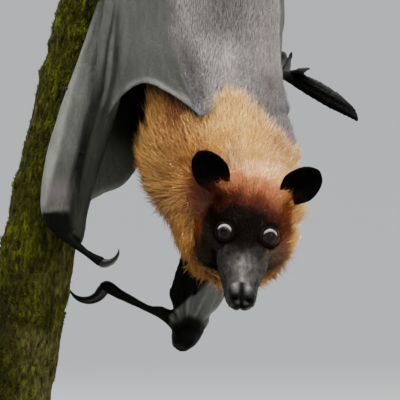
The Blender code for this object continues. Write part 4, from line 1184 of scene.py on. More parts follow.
class BodyCoat:
    """The coat of head, mantle, back, belly and limbs."""

    groups = {
        "coat_face": ((Part.MUZZLE, Part.FACE), TuftShape(2, 0.5, 0.15), "face_fur"),
        "coat_crown": ((Part.CROWN,), TuftShape(3), "face_fur"),
        "coat_mantle": ((Part.MANTLE,), TuftShape(3), "mantle_fur"),
        "coat_back": ((Part.BACK,), TuftShape(2, 0.45, 0.25), "back_fur"),
        "coat_belly": ((Part.BELLY,), TuftShape(3), "back_fur"),
        "coat_limbs": ((Part.THIGH, Part.SHANK, Part.FOOT, Part.ARM), TuftShape(2, 0.5, 0.2), "back_fur")
    }

    def __init__(self, skin: BodySkin, covers: list[Surface]) -> None:
        """Keeps the skin and what lies over it."""
        self.skin = skin
        self.covers = covers

    def build(self, looks: dict) -> list[bpy.types.Object]:
        """Scatters the tufts and makes the pieces."""
        skin = self.skin
        surface = skin.surface
        density = skin.lies[:, 4] * self.bare_spots(surface.points)
        values = np.hstack(
            [surface.normals, skin.lay, skin.colours, skin.lies, skin.parts, self.unwrap(surface.points)]
        )
        coat = Coat()
        points, read = coat.scatter(surface, density, values)
        keep = self.uncovered(points, unit(read[:, :3]))
        points, read = points[keep], read[keep]
        kinds = read[:, 15:-2].argmax(axis=1)
        roots = Roots(
            points=points, normals=unit(read[:, :3]), lay=unit(read[:, 3:6]), colours=read[:, 6:9],
            length=read[:, 10], width=read[:, 11], lift=read[:, 12], mess=read[:, 14], spot=read[:, -2:]
        )
        made = []
        order = list(Part)
        for name, (parts, shape, slot) in self.groups.items():
            chosen = np.isin(kinds, [order.index(part) for part in parts])
            for piece in coat.pieces(name, roots.only(chosen), shape):
                made.append(settle(piece, looks[slot], slot))
        return made

    def bare_spots(self, points: np.ndarray) -> np.ndarray:
        """0 where no hair grows: the eyes and lids, the nose pad, the lips; 1 elsewhere."""
        f, u, r = head_local(points)
        hair = 1 - FaceRelief.pad(f, u, r)
        hair *= 1 - 0.9 * ramp(30.0, 32.0, f)
        hair *= 1 - bell(u - FaceRelief.mouth_height(f), 0.9) * ramp(2, 8, f)
        for side in (-1, 1):
            away = points - np.array(Eye.centre(side))
            reach = np.linalg.norm(away, axis=1)
            angle = np.arccos(np.clip(away @ np.array(Eye.gaze(side)) / np.maximum(reach, 1e-6), -1, 1))
            near = (1 - ramp(0.84, 0.94, angle)) * (1 - ramp(8.0, 9.0, reach))
            hair *= 1 - near
        return hair

    def uncovered(self, points: np.ndarray, normals: np.ndarray) -> np.ndarray:
        """Which roots have no wing lying close over them."""
        keep = np.ones(len(points), bool)
        for cover in self.covers:
            tree = BVHTree.FromPolygons(cover.points.tolist(), cover.triangles().tolist())
            low, high = cover.points.min(axis=0) - 8, cover.points.max(axis=0) + 8
            near = np.nonzero(keep & ((points > low) & (points < high)).all(axis=1))[0]
            for index in near:
                hit = tree.ray_cast(Vector(points[index]), Vector(normals[index]), 5.5)
                keep[index] = hit[0] is None
        return keep

    def unwrap(self, points: np.ndarray) -> np.ndarray:
        """The skin laid flat: the angle about the body's or the head's line, and the way along it."""
        away = points[:, :2] - np.array((32.0, -12.0))
        turn = np.arctan2(away[:, 0], -away[:, 1])
        flat = np.stack([turn / math.tau + 0.5, points[:, 2] / 240.0], axis=1)
        f, u, r = head_local(points)
        round_head = np.stack([np.arctan2(r, u + 6.0) / math.tau + 0.5, 1.2 + f / 80.0], axis=1)
        on_head = (f > -34) & (u > -24) & (abs(r) < 24)
        return np.where(on_head[:, None], round_head, flat)


@dataclass
class RightWing:
    """The folded right wing: forearm, hand and fingers along the branch, and its skins."""

    voxel: float = 0.72
    thickness: float = 1.5
    forearm: tuple = (
        (*between(ELBOW_R, WRIST_R, -0.01), 6.0, 6.0), (-10.3, -19.5, 248.0, 7.2, 6.4),
        (-13.3, -18.5, 229.0, 7.0, 6.0), (-16.0, -17.5, 209.0, 6.4, 5.4), (-18.8, -17.0, 197.0, 6.0, 4.9),
        (-24.0, -16.5, 177.0, 5.0, 4.4), (-29.0, -16.0, 156.0, 4.2, 4.2), (-30.0, -17.5, 148.0, 4.2, 4.0),
        (-29.8, -19.5, 143.4, 3.0, 3.0), (-30.2, -20.6, 140.8, 1.9, 1.9), (-30.6, -21.2, 139.6, 0.9, 0.9)
    )
    hand: tuple = (
        (-35.0, -20.5, 147.0, 5.0, 4.4), (-38.2, -21.0, 157.0, 7.8, 5.0), (-36.0, -19.0, 177.0, 8.2, 5.0),
        (-30.5, -16.5, 198.0, 7.7, 4.6), (-26.5, -13.8, 209.0, 7.9, 4.4), (-22.0, -10.5, 226.0, 6.4, 4.2),
        (-16.6, -5.5, 248.0, 4.6, 3.9)
    )
    fingers: tuple = (
        (-16.2, -5.2, 247.0, 4.2, 3.6), (-12.0, -1.5, 270.0, 3.8, 3.2), (-8.2, 1.4, 298.0, 3.2, 2.8),
        (-5.6, 3.0, 318.0, 2.6, 2.4)
    )
    tip: tuple = (
        (-4.6, 4.4, 321.0, 2.0, 1.2), (-7.0, 5.6, 296.0, 3.6, 1.1), (-12.0, 3.4, 262.0, 4.6, 1.1),
        (-17.6, -1.4, 228.0, 4.6, 1.0), (-21.6, -5.2, 205.0, 3.0, 0.9), (-24.0, -7.2, 190.0, 1.0, 0.7)
    )
    thumb: tuple = (
        (-37.0, -20.5, 149.0, 3.6, 3.4), (-35.0, -21.5, 146.0, 3.2, 3.2), (-30.8, -24.0, 141.6, 2.0, 2.2),
        (-25.6, -27.0, 137.6, 1.5, 1.7), (-21.4, -29.4, 134.8, 1.9, 1.9), (-18.6, -31.0, 133.4, 2.2, 2.1),
        (-17.2, -31.6, 132.8, 1.2, 1.2)
    )
    # The net of the skin over shoulder and elbow; its first row is the free edge that arches over the mantle.
    shoulder_net: tuple = (
        [
            (-17, -21, 198), (-12, -23, 205.5), (-5, -27, 211.5), (2, -33.5, 213), (10, -40, 209.6),
            (18, -43, 204.4), (26, -43.5, 198), (33, -39, 202), (39, -34, 208)
        ],
        [
            (-15, -21, 214), (-10, -24, 218), (-4, -28, 221), (3, -34, 222), (11, -40, 220),
            (20, -42.5, 215), (28, -41.5, 208), (34, -38.5, 211), (40, -34.5, 216)
        ],
        [
            (-12.5, -22, 232), (-8, -25, 235), (-2, -28.5, 237), (4, -33.5, 238), (11, -38.5, 237),
            (18, -41, 234), (25, -40.5, 229), (31, -38.8, 228), (37, -36, 229)
        ],
        [
            (-10, -22.5, 254), (-6, -25, 256), (-1, -28.5, 257), (4, -33, 257), (10, -37.5, 257),
            (15, -39.5, 255), (21, -39.3, 252), (28, -38, 251), (35, -35.5, 251)
        ],
        [
            (-7, -23, 286), (-3, -25.5, 288), (1, -28, 289), (5, -31.5, 289), (9, -34, 288),
            (13, -35.5, 286), (18, -36, 284), (25, -36, 283), (32, -34.5, 283)
        ]
    )
    # The net of the skin from the flank and leg to the fingers.
    flank_net: tuple = (
        [(-26, -11, 160), (-18, -6, 164.5), (-10, -0.5, 168), (-3, 4.5, 177), (5, 9, 189), (14, 13, 200)],
        [(-15, -3, 205), (-10, 1, 206), (-5, 4, 208), (2, 8, 212), (10, 12, 218), (20, 16, 226)],
        [(-9, 7, 250), (-5, 9, 251), (0, 11, 252), (7, 14, 255), (15, 16, 258), (24, 16, 262)],
        [(-3, 9, 300), (0, 10, 301), (4, 11, 302), (9, 12, 304), (14, 12, 307), (20, 9, 311)],
        [(-4, 5, 345), (-2, 4.5, 345), (0, 3, 345), (2, 1, 344), (4, -2, 343), (6, -6, 342)],
        [(-5, 1, 396), (-4.6, 0, 396), (-4.4, -1, 396), (-4.2, -2, 395), (-4, -3, 394), (-4, -4, 393)]
    )
    # Lines painted on the skin, as (x, z) from low to high: the edge of the pale outer band, a painted
    # highlight where it faces the light, two creases, and the middle of a painted shadow beside the forearm.
    hand_edge = [
        (-43.4, 157.0), (-41.6, 165.0), (-39.4, 173.9), (-36.3, 187.2), (-32.7, 205.0), (-29.6, 218.3),
        (-25.6, 231.7), (-19.4, 249.4)
    ]
    crease = [
        (-34.5, 149.5), (-31.8, 160.6), (-28.3, 177.5), (-22.5, 197.5), (-18.5, 209.5), (-15.9, 230.3),
        (-11.0, 252.0)
    ]
    valley_shadow = [
        (-29.2, 152.0), (-28.8, 162.8), (-27.8, 173.0), (-26.4, 183.0), (-24.8, 195.0), (-22.4, 202.4),
        (-19.8, 210.0), (-18.4, 222.0)
    ]
    second_crease = [(-19.4, 190.4), (-12.7, 217.4), (-11.4, 242.8), (-8.0, 262.0)]
    fur_line = [
        (25.0, 199.0), (22.5, 207.0), (19.5, 216.0), (15.5, 229.0), (13.0, 249.0), (10.0, 275.0),
        (8.0, 300.0)
    ]
    notch = (26.0, -44.0, 196.0)
    nodes: tuple = (
        "forearm_right", "hand_right", "fingers_right", "wing_tip_right", "thumb_right", "propatagium_right",
        "plagiopatagium_right"
    )

    def build(self) -> Surface:
        """Melts the wing's parts into one skin, folds it and paints it."""
        flesh = Flesh()
        flesh.tube(self.forearm, RIGHT, 48, 28)
        flesh.tube(self.hand, RIGHT, 48, 28)
        flesh.tube(self.fingers, RIGHT, 24, 20)
        flesh.tube([(x, y, z, a, max(b, 0.9)) for x, y, z, a, b in self.tip], RIGHT, 40, 20)
        flesh.tube(self.thumb, (0, 0, 1), 24, 16)
        flesh.sheet(self.shoulder_net, 48, 60, self.thickness)
        flesh.sheet(self.flank_net, 40, 90, self.thickness)
        edge = [(x, y, z, 1.15, 1.15) for x, y, z in self.shoulder_net[0][:7]]
        flesh.tube(edge, (0, 0.5, 1), 40, 12)
        hem = [(x, y, z, 0.95, 0.95) for x, y, z in self.flank_net[0]]
        flesh.tube(hem, (0, 0.5, 1), 40, 12)
        surface = flesh.melt("wing_skin_right", self.voxel, 8)
        self.fold(surface)
        self.paint(surface)
        return surface

    def fold(self, surface: Surface) -> None:
        """Presses the creases between arm, hand and skin, and raises the soft ridges beside them."""
        points, normals = surface.points, surface.normals
        front = ramp(0.1, 0.5, -normals[:, 1])
        shift = np.zeros(len(points))
        for line, depth, width in (
            (
                [
                    (-11, 0, 262), (-16, 0, 231), (-18.7, 0, 210), (-22.7, 0, 198), (-28.5, 0, 177),
                    (-32.6, 0, 158)
                ],
                1.5, 1.2
            ),
            ([(-8, 0, 268), (-11.5, 0, 243), (-12.9, 0, 218), (-19.6, 0, 190)], 0.9, 1.3),
            ([(-20, 0, 243), (-26.6, 0, 216), (-32.5, 0, 190), (-36.6, 0, 166)], 0.35, 1.0),
            ([(0, 0, 262), (-4, 0, 240), (-8, 0, 222), (-12, 0, 208)], 0.5, 1.4)
        ):
            apart, share = line_distance(points, line, (0, 2))
            ends = ramp(0.0, 0.12, share) * ramp(1.0, 0.85, share)
            shift -= depth * bell(apart, width) * front * ends
            shift += depth * 0.35 * bell(apart - 2.6 * width, width) * front * ends
        away = points - np.array(self.notch)
        angle = np.arctan2(away[:, 0], away[:, 2])
        reach = np.linalg.norm(away, axis=1)
        pleats = np.sin(angle * 26.0 + soft_noise(points, 14.0, 41) * 2.2)
        shift += 0.22 * pleats * bell(reach - 18, 22.0) * front * ramp(-16, -4, points[:, 0])
        shift += soft_noise(points, 9.0, 42) * 0.35 * ramp(-14, 0, points[:, 0]) * front
        shift += soft_noise(points * np.array((1.0, 1.0, 0.25)), 2.2, 43) * 0.12
        surface.move(points + normals * shift[:, None])

    def paint(self, surface: Surface) -> None:
        """Colours the wing: grey skin, black wrist and thumb, pale edges, painted shade in the folds, under
        the arch and behind the arm, and a painted highlight on the outer band where it faces the light.
        """
        points = surface.points
        x, y, z = points.T
        ripple = soft_noise(points * np.array((1, 1, 0.3)), 3.0, 46)
        colour = WingColours.base(surface)
        # Painted highlight: the pale outer band of the hand, on the side that faces the light.
        hand = beside(points, self.hand_edge) + ripple * 0.5
        front = ramp(4, -6, y) * ramp(155, 160, z)
        colour = blend(colour, WingColours.pale, ramp(1.2, -1.4, hand) * front * (0.72 + 0.25 * ripple))
        # Painted shade on the low part of the band, on the side turned from the light.
        lower = ramp(186, 172, z) * ramp(-1.0, 1.0, hand)
        colour = blend(colour, WingColours.deep, lower * front * 0.45)
        # Painted shade: a dark line in the crease between the hand and the forearm.
        crease = beside(points, self.crease) + ripple * 0.4
        colour = blend(colour, WingColours.black, bell(crease, 0.9) * ramp(252, 236, z) * front * 0.6)
        # Painted shadow: a wide dark band down the valley beside the forearm.
        valley_shadow = bell(beside(points, self.valley_shadow) + ripple * 0.5, 3.4) * ramp(228, 206, z) * ramp(-6, -12, y)
        colour = blend(colour, WingColours.black, valley_shadow * 0.82)
        # Painted shade under the arch, to the right of the crease.
        beneath = ramp(-0.8, 0.8, crease) * ramp(211, 201, z + crease * 0.6) * ramp(-2, -9, y)
        colour = blend(colour, WingColours.deep, beneath * ramp(4, -6, x) * 0.9)
        # Painted shade in the second crease.
        second = beside(points, self.second_crease)
        colour = blend(colour, WingColours.deep, bell(second, 1.4) * ramp(250, 240, z) * front * 0.7)
        apart, _ = line_distance(points, [(x0, 0, z0) for x0, _, z0 in self.shoulder_net[0][:7]], (0, 2))
        arch = ramp(-12, -4, x) * ramp(-18, -24, y)
        colour = blend(
            colour, WingColours.deep, bell(x - 16, 8.0) * ramp(236, 220, z) * ramp(-20, -30, y) * 0.6
        )
        colour = blend(
            colour, WingColours.deep, bell(x + 8, 9.0) * bell(z - 213, 9.0) * ramp(-6, -14, y) * 0.35
        )
        colour = blend(colour, WingColours.pale, bell(apart, 1.3) * arch * 0.6)
        # The skin behind the arm takes the shade colour and goes black towards the arch as painted shadow.
        behind = ramp(-15, -8, y) * ramp(-30, -22, x)
        colour = blend(colour, WingColours.shade, behind * 0.85)
        colour = blend(colour, WingColours.black, behind * ramp(176, 194, z) * ramp(-24, -10, x) * 0.85)
        hem, _ = line_distance(points, self.flank_net[0])
        colour = blend(colour, WingColours.pale, bell(hem, 1.3) * 0.5)
        colour = blend(colour, Markings.back_grey * 0.5, self.furred(points) * 0.9)
        blush = bell(z - 165, 5.0) * ramp(-30, -36, x) + bell(second + 4.0, 2.5) * ramp(240, 255, z) * 0.6
        blush += bell(beside(points, self.fur_line) + 2.0, 2.6) * ramp(-30, -36, y) * (0.4 + 0.4 * ripple)
        colour = blend(colour, WingColours.blush, blush * 0.4)
        wrist = ramp(156.6, 154.2, z + soft_noise(points, 3.0, 45) * 1.0)
        wrist = wrist * ramp(-30.5, -33.5, x + (z - 150) * 0.1)
        thumb, _ = line_distance(points, [row[:3] for row in self.thumb[1:]])
        wrist = np.maximum(wrist, ramp(4.2, 3.2, thumb) * ramp(147, 144, z))
        colour = blend(colour, WingColours.black, np.maximum(wrist, ramp(142.0, 140.0, z)))
        colour = blend(colour, WingColours.pale, ramp(-44.6, -45.8, x) * bell(z - 156, 6.0) * 0.7)
        tip, _ = line_distance(points, [row[:3] for row in self.tip])
        colour = blend(colour, WingColours.tip, bell(tip, 3.5) * ramp(-6, 0, y))
        surface.paint(colour)

    @staticmethod
    def furred(points: np.ndarray) -> np.ndarray:
        """How much of each point the back's fur has grown over, where the skin joins the back."""
        reach = beside(points, RightWing.fur_line)
        reach = reach + soft_noise(points, 6.0, 44) * 2.5 + soft_noise(points, 2.2, 47) * 1.5
        return ramp(-3.5, 3.0, reach) * ramp(-22, -32, points[:, 1])

    def grow_fur(self, surface: Surface, markings: Markings, look: bpy.types.Material) -> None:
        """Grows the back's short fur over the inner part of the skin."""
        points = surface.points
        facing = ramp(0.1, 0.5, -surface.normals[:, 1])
        away = points - np.array(self.notch)
        flow = unit(away) * bell(np.linalg.norm(away, axis=1), 30.0)[:, None] + np.array((0.1, 0.0, 0.6))
        spot = np.stack([(points[:, 0] * 0.75 - points[:, 1] * 0.66) / 60, points[:, 2] / 130], axis=1)
        coat = Coat(5)
        dim = 1.0 - 0.5 * ramp(26, 21, points[:, 0]) * ramp(236, 224, points[:, 2])
        values = np.hstack([surface.normals, flow, markings.body(points) * dim[:, None], spot])
        density = self.furred(points) * facing * LIES[Part.BACK].density
        places, read = coat.scatter(surface, density, values)
        normals, lie = unit(read[:, :3]), LIES[Part.BACK]
        read[:, 3:6] -= normals * np.einsum("ij,ij->i", read[:, 3:6], normals)[:, None]
        roots = Roots.alike(places, read, replace(lie, length=lie.length * 0.85, lift=lie.lift * 0.8))
        for piece in coat.pieces("coat_shoulder", roots, TuftShape(2, 0.45, 0.25)):
            settle(piece, look, "back_fur")


class WingColours:
    """The wing's skin colours; deep, shade and black also serve as painted shade and shadow, and pale also
    serves as painted highlight.
    """

    grey = linear(76, 77, 71)
    pale = linear(128, 129, 122)
    deep = linear(34, 35, 28)
    shade = linear(54, 56, 46)
    blush = linear(108, 95, 100)
    black = linear(8, 8, 6)
    tip = linear(7, 6, 5)
    tip_pale = linear(52, 48, 44)

    @classmethod
    def base(cls, surface: Surface) -> np.ndarray:
        """Grey skin with soft mottling, with painted shade in its creases and painted highlight on its
        ridges.
        """
        points = surface.points
        long = points * np.array((1, 1, 0.3))
        mottle = soft_noise(points, 11.0, 51) * 0.10 + soft_noise(long, 2.6, 52) * 0.07
        colour = cls.grey * (1.0 + mottle)[:, None]
        hollow = surface.hollowness(3)
        colour = blend(colour, cls.deep, ramp(0.03, 0.30, hollow) * 0.85)
        return blend(colour, cls.pale, ramp(0.04, 0.30, -hollow) * 0.45)


@dataclass
class LeftWing:
    """The left wing, drawn across the belly: its elbow stands forward, its wrist hangs below the throat."""

    voxel: float = 0.85
    kept: float = 0.85  # share of its faces that the finished skin keeps
    thickness: float = 1.5
    front_edge: tuple = ((32, 4, 184), (25, 15, 158), (17.5, 23, 138), (12.5, 27.5, 118), (13.5, 29, 108))
    flank_line: tuple = (
        (60, -10, 210), (60, -12, 250), (54, -12, 290), (45, -12, 320), (45, -18, 360), (24, 3, 410)
    )
    wing_edge: tuple = (
        (50, 77, 239), (50, 67, 262), (46, 53, 290), (37, 32, 330), (28, 14, 375), (23, 6, 412)
    )
    leaf: tuple = (0.54, 0, 0.84)
    # The net of the skin that fans out from the wrist below the throat; its first row is the free edge.
    fan_net: tuple = (
        (
            (11.5, 25.5, 108), (20, 24, 115.5), (29, 22, 123.5), (38, 19, 136), (45, 15, 155), (50, 10, 175),
            (54, 2, 190)
        ),
        (
            (15, 26.5, 102), (23, 25, 111), (31, 24, 121), (40, 24.5, 137), (47, 24, 159), (52, 20, 180),
            (56, 11, 195)
        ),
        (
            (22, 28.5, 97), (28, 28, 107), (35, 29, 121), (44, 32, 140), (51, 34, 165), (55, 30, 185),
            (58, 20, 200)
        )
    )
    web_net: tuple = (
        ((12, 27.5, 108), (12.6, 27.6, 118), (17.5, 23.5, 138), (25, 15.5, 158)),
        ((14, 27, 108.5), (20.5, 24.5, 117), (29, 22.5, 126), (39, 19.5, 140))
    )
    knob: tuple = ((18.0, 27.6, 98.4), (6.0, 5.2, 6.2))
    spur: tuple = (
        (67.0, 57.0, 219.8, 1.2, 0.9), (72.0, 53.0, 220.6, 1.7, 0.9), (76.4, 50.0, 221.8, 0.6, 0.6)
    )
    nodes: tuple = (
        "forearm_left", "hand_left", "fingers_left", "wing_tip_left", "finger_tip_left", "thumb_left",
        "propatagium_left", "plagiopatagium_left", "hand_membrane_left"
    )
    thumb: tuple = (
        (15.5, 28.0, 103.6, 4.4, 3.8), (13.5, 27.0, 105.6, 4.0, 3.4), (9.0, 26.0, 108.4, 2.7, 2.5),
        (2.2, 25.0, 111.3, 1.9, 1.9), (-7.0, 25.0, 115.4, 1.9, 1.8), (-12.4, 25.0, 118.0, 2.1, 2.0),
        (-17.0, 25.0, 120.8, 2.7, 2.4), (-20.2, 25.0, 120.0, 2.0, 2.0)
    )

    def bones(self, flesh: Flesh) -> None:
        """Adds forearm, hand, fingers, wing tips and thumb."""
        forearm = ((-0.02, 4.5, 4.5), (0.04, 6.2, 6.0), (0.3, 6.4, 5.8), (0.7, 4.0, 4.0), (0.97, 3.8, 3.8))
        flesh.tube(bone_rows(ELBOW_L, WRIST_L, *forearm), RIGHT, 48, 24)
        flat = (Vector(KNUCKLE_L) - Vector(WRIST_L)).cross(Vector((0, 1, 0)))
        palm = ((-0.075, 3.6, 3.2), (0.0, 6.6, 5.8), (0.16, 6.4, 4.2), (0.5, 7.4, 3.2), (1.0, 5.0, 3.0))
        flesh.tube(bone_rows(WRIST_L, KNUCKLE_L, *palm), flat, 44, 28)
        fingers = ((-0.06, 4.6, 2.8), (0.5, 6.4, 2.6), (1.0, 3.4, 2.2))
        flesh.tube(bone_rows(KNUCKLE_L, FINGER_BEND_L, *fingers), (0.8, 0, 0.6), 24, 20)
        leaf = (
            (0.02, 2.4, 2.0), (0.25, 3.1, 1.5, 0.6, 0, 1.0), (0.45, 4.2, 1.3, 1.1, 0, 1.7),
            (0.62, 4.5, 1.2, 1.2, 0, 1.9), (0.78, 4.1, 1.1, 1.2, 0, 1.9), (0.9, 3.0, 1.0, 1.1, 0, 1.6),
            (0.97, 1.7, 0.9, 0.6, 0, 0.8), (1.0, 0.7, 0.7)
        )
        flesh.tube(bone_rows(FINGER_BEND_L, WING_TIP_L, *leaf), self.leaf, 60, 22)
        fourth = [
            *bone_rows(FINGER_BEND_L, FOURTH_TIP_L, (0.10, 1.8, 1.4, 3.0, 0, 2.0)),
            (62.5, 50.0, 228.0, 2.4, 1.3), (63.5, 32.0, 221.5, 2.6, 1.2), (64.5, 23.0, 221.0, 2.4, 1.1),
            (*FOURTH_TIP_L, 0.8, 0.7)
        ]
        flesh.tube(fourth, (1, 0, 0), 30, 16)
        flesh.tube(list(self.thumb), (0, 0, 1), 40, 16)

    def skins(self, flesh: Flesh) -> None:
        """Adds the three skins: before the arm, from flank to fingers, and between arm and hand."""
        rows = []
        for share in (0.0, 0.32, 0.64, 0.96):
            row = []
            for t in np.linspace(0.0, 0.93, 9):
                edge = smooth_rows(self.front_edge, 29)[round(t * 28)]
                if t < 0.5:
                    bone = between(SHOULDER_L, ELBOW_L, t / 0.5)
                else:
                    bone = between(ELBOW_L, WRIST_L, (t - 0.5) / 0.5)
                row.append(between(edge, bone, share))
            rows.append(row)
        flesh.sheet(rows, 60, 40, self.thickness)
        flesh.sheet([list(row) for row in self.fan_net], 60, 30, self.thickness)
        flesh.sheet([list(row) for row in self.web_net], 30, 20, self.thickness)
        flesh.ball(Vector(self.knob[0]), self.knob[1])
        flesh.tube(list(self.spur), (0, 0, 1), 16, 12)
        rows = []
        for share in (0.0, 0.25, 0.5, 0.75, 1.0):
            belly = Vector((1.0, 0.3, 0)) * 9.0 * math.sin(math.pi * share)
            row = []
            for t in np.linspace(0, 1, 9):
                inner = smooth_rows(self.flank_line, 17)[round(t * 16)]
                outer = smooth_rows(self.wing_edge, 17)[round(t * 16)]
                bow = belly * math.sin(math.pi * min(1, t * 1.1)) ** 0.5 if t < 0.9 else Vector()
                row.append(between(inner, outer, share, *bow))
            rows.append(row)
        flesh.sheet(rows, 90, 50, self.thickness)
        rows = []
        for share in (0.0, 0.5, 1.0):
            bow = Vector((0, 3.0, 0)) * math.sin(math.pi * share)
            row = []
            for t in np.linspace(0.06, 0.97, 7):
                arm = between(WRIST_L, ELBOW_L, t)
                palm = between(WRIST_L, KNUCKLE_L, t)
                row.append(between(arm, palm, share, *(bow * t)))
            rows.append(row)
        flesh.sheet(rows, 40, 24, self.thickness)

    def build(self) -> Surface:
        """Melts the wing's parts into one skin, pleats it and paints it."""
        flesh = Flesh()
        self.bones(flesh)
        self.skins(flesh)
        for line in (self.front_edge, self.wing_edge):
            flesh.tube([(x, y, z, 1.0, 1.0) for x, y, z in line], (1, 0, 0), 60, 12)
        surface = flesh.melt("wing_skin_left", self.voxel, 8)
        self.fold(surface)
        self.paint(surface)
        return surface

    def fold(self, surface: Surface) -> None:
        """Raises the pleats that spread from the wrist, and the leaf's ribs."""
        points, normals = surface.points, surface.normals
        away = points - np.array(WRIST_L)
        reach = np.linalg.norm(away, axis=1)
        angle = np.arctan2(away[:, 0], away[:, 2])
        pleats = np.sin(angle * 17.0 + 0.6) + 0.4 * np.sin(angle * 31.0)
        shift = 0.55 * pleats * ramp(7, 14, reach) * (1 - ramp(40, 70, reach))
        along, share = line_distance(points, [FINGER_BEND_L, WING_TIP_L])
        leaf = bell(along, 9.0) * ramp(0.25, 0.4, share)
        across = (points - np.array(WING_TIP_L)) @ np.array(self.leaf)
        shift += 0.12 * np.sin(across * 1.9) * leaf
        shift += soft_noise(points, 12.0, 61) * 0.45 * ramp(40, 70, reach) * (1 - leaf)
        shift += soft_noise(points * np.array((1, 1, 0.3)), 2.4, 62) * 0.10 * (1 - leaf)
        surface.move(points + normals * shift[:, None])

    def paint(self, surface: Surface) -> None:
        """Colours the wing: grey skin, black wrist, thumb and wing tip, and painted shadow on the skin behind
        the fan.
        """
        points = surface.points
        colour = WingColours.base(surface)
        away = points - np.array(WRIST_L)
        reach = np.linalg.norm(away, axis=1)
        # Painted shadow: the skin left of the fan's free edge, below the throat, is painted black.
        outside = beside(points, [(x, z) for x, _, z in self.fan_net[0]])
        under = ramp(0.5, -1.5, outside) * ramp(150, 138, points[:, 2]) * ramp(5, 12, points[:, 1])
        colour = blend(colour, WingColours.black, under)
        wrist = 1 - ramp(8.0, 13.0, reach + soft_noise(points, 3.0, 63) * 1.2)
        thumb = ramp(13.0, 10.0, points[:, 0]) * ramp(126, 122, points[:, 2])
        colour = blend(colour, WingColours.black, np.maximum(wrist, thumb))
        along, share = line_distance(points, [FINGER_BEND_L, WING_TIP_L])
        leaf = np.minimum(1.0, 1.7 * bell(along, 6.5)) * ramp(0.12, 0.35, share)
        across = (points - np.array(WING_TIP_L)) @ np.array(self.leaf)
        tip = blend(
            np.tile(WingColours.tip, (len(points), 1)), WingColours.tip_pale,
            bell(np.sin(across * 1.3), 0.3) * 0.22
        )
        colour = blend(colour, tip, leaf)
        fourth, _ = line_distance(points, [FINGER_BEND_L, FOURTH_TIP_L])
        colour = blend(colour, WingColours.tip, bell(fourth, 4.0))
        surface.paint(colour)


@dataclass
class Ear:
    """A thin cupped leaf of an ear, open towards the snout and a little outwards."""

    base: tuple = (-20.5, 9.4, 17.3)
    tip: tuple = (-23.6, 22.6, 26.6)
    width: float = 15.0
    thickness: float = 1.15
    root: float = 3.5

    def build(self, name: str, side: int) -> Surface:
        """Makes the ear with its rolled rim; side is 1 on the bat's right."""
        base = head_place(*self.base[:2], self.base[2] * side)
        reach = head_place(*self.tip[:2], self.tip[2] * side) - base
        tip = reach.normalized()
        mouth = SNOUT * 0.80 + CROWN * 0.45 - HEAD_RIGHT * side * 0.10
        mouth = (mouth - tip * mouth.dot(tip)).normalized()
        across = tip.cross(mouth)
        rows, rim = [], {-1: [], 1: []}
        for v in np.linspace(-1, 1, 9):
            row = []
            for t in np.linspace(0, 1, 12):
                flare = 0.58 + 0.42 * math.sin(math.pi / 2 * min(1.0, t / 0.45))
                outline = max(0.12, flare * math.sqrt(1 - t**3))
                half = self.width / 2 * outline
                cup = self.width * 0.36 * (1 - v * v) * (1 - 0.6 * t) * outline
                place = base + tip * ((reach.length + self.root) * t - self.root) + across * half * v
                place = place - mouth * (cup - 1.5)
                row.append(place)
                if abs(v) == 1:
                    rim[int(v)].append(place)
            rows.append(row)
        flesh = Flesh()
        flesh.sheet(rows, 40, 40, self.thickness)
        line = [*rim[-1], *reversed(rim[1])]
        flesh.tube([(*place, 0.72, 0.72) for place in line], across + tip * 0.3, 90, 10)
        surface = flesh.melt(name, 0.42, 6)
        points = surface.points
        away = points - np.array(base)
        along = away @ np.array(tip)
        surface.move(points + surface.normals * (soft_noise(points, 1.6, 72) * 0.05)[:, None])
        colour = np.tile(Markings.black, (len(points), 1)) * (
            1.0 + 0.4 * soft_noise(points, 3.0, 73)
        )[:, None]
        surface.paint(blend(colour, Markings.red_brown * 0.4, ramp(2.0, -4.0, along) * 0.6))
        return surface


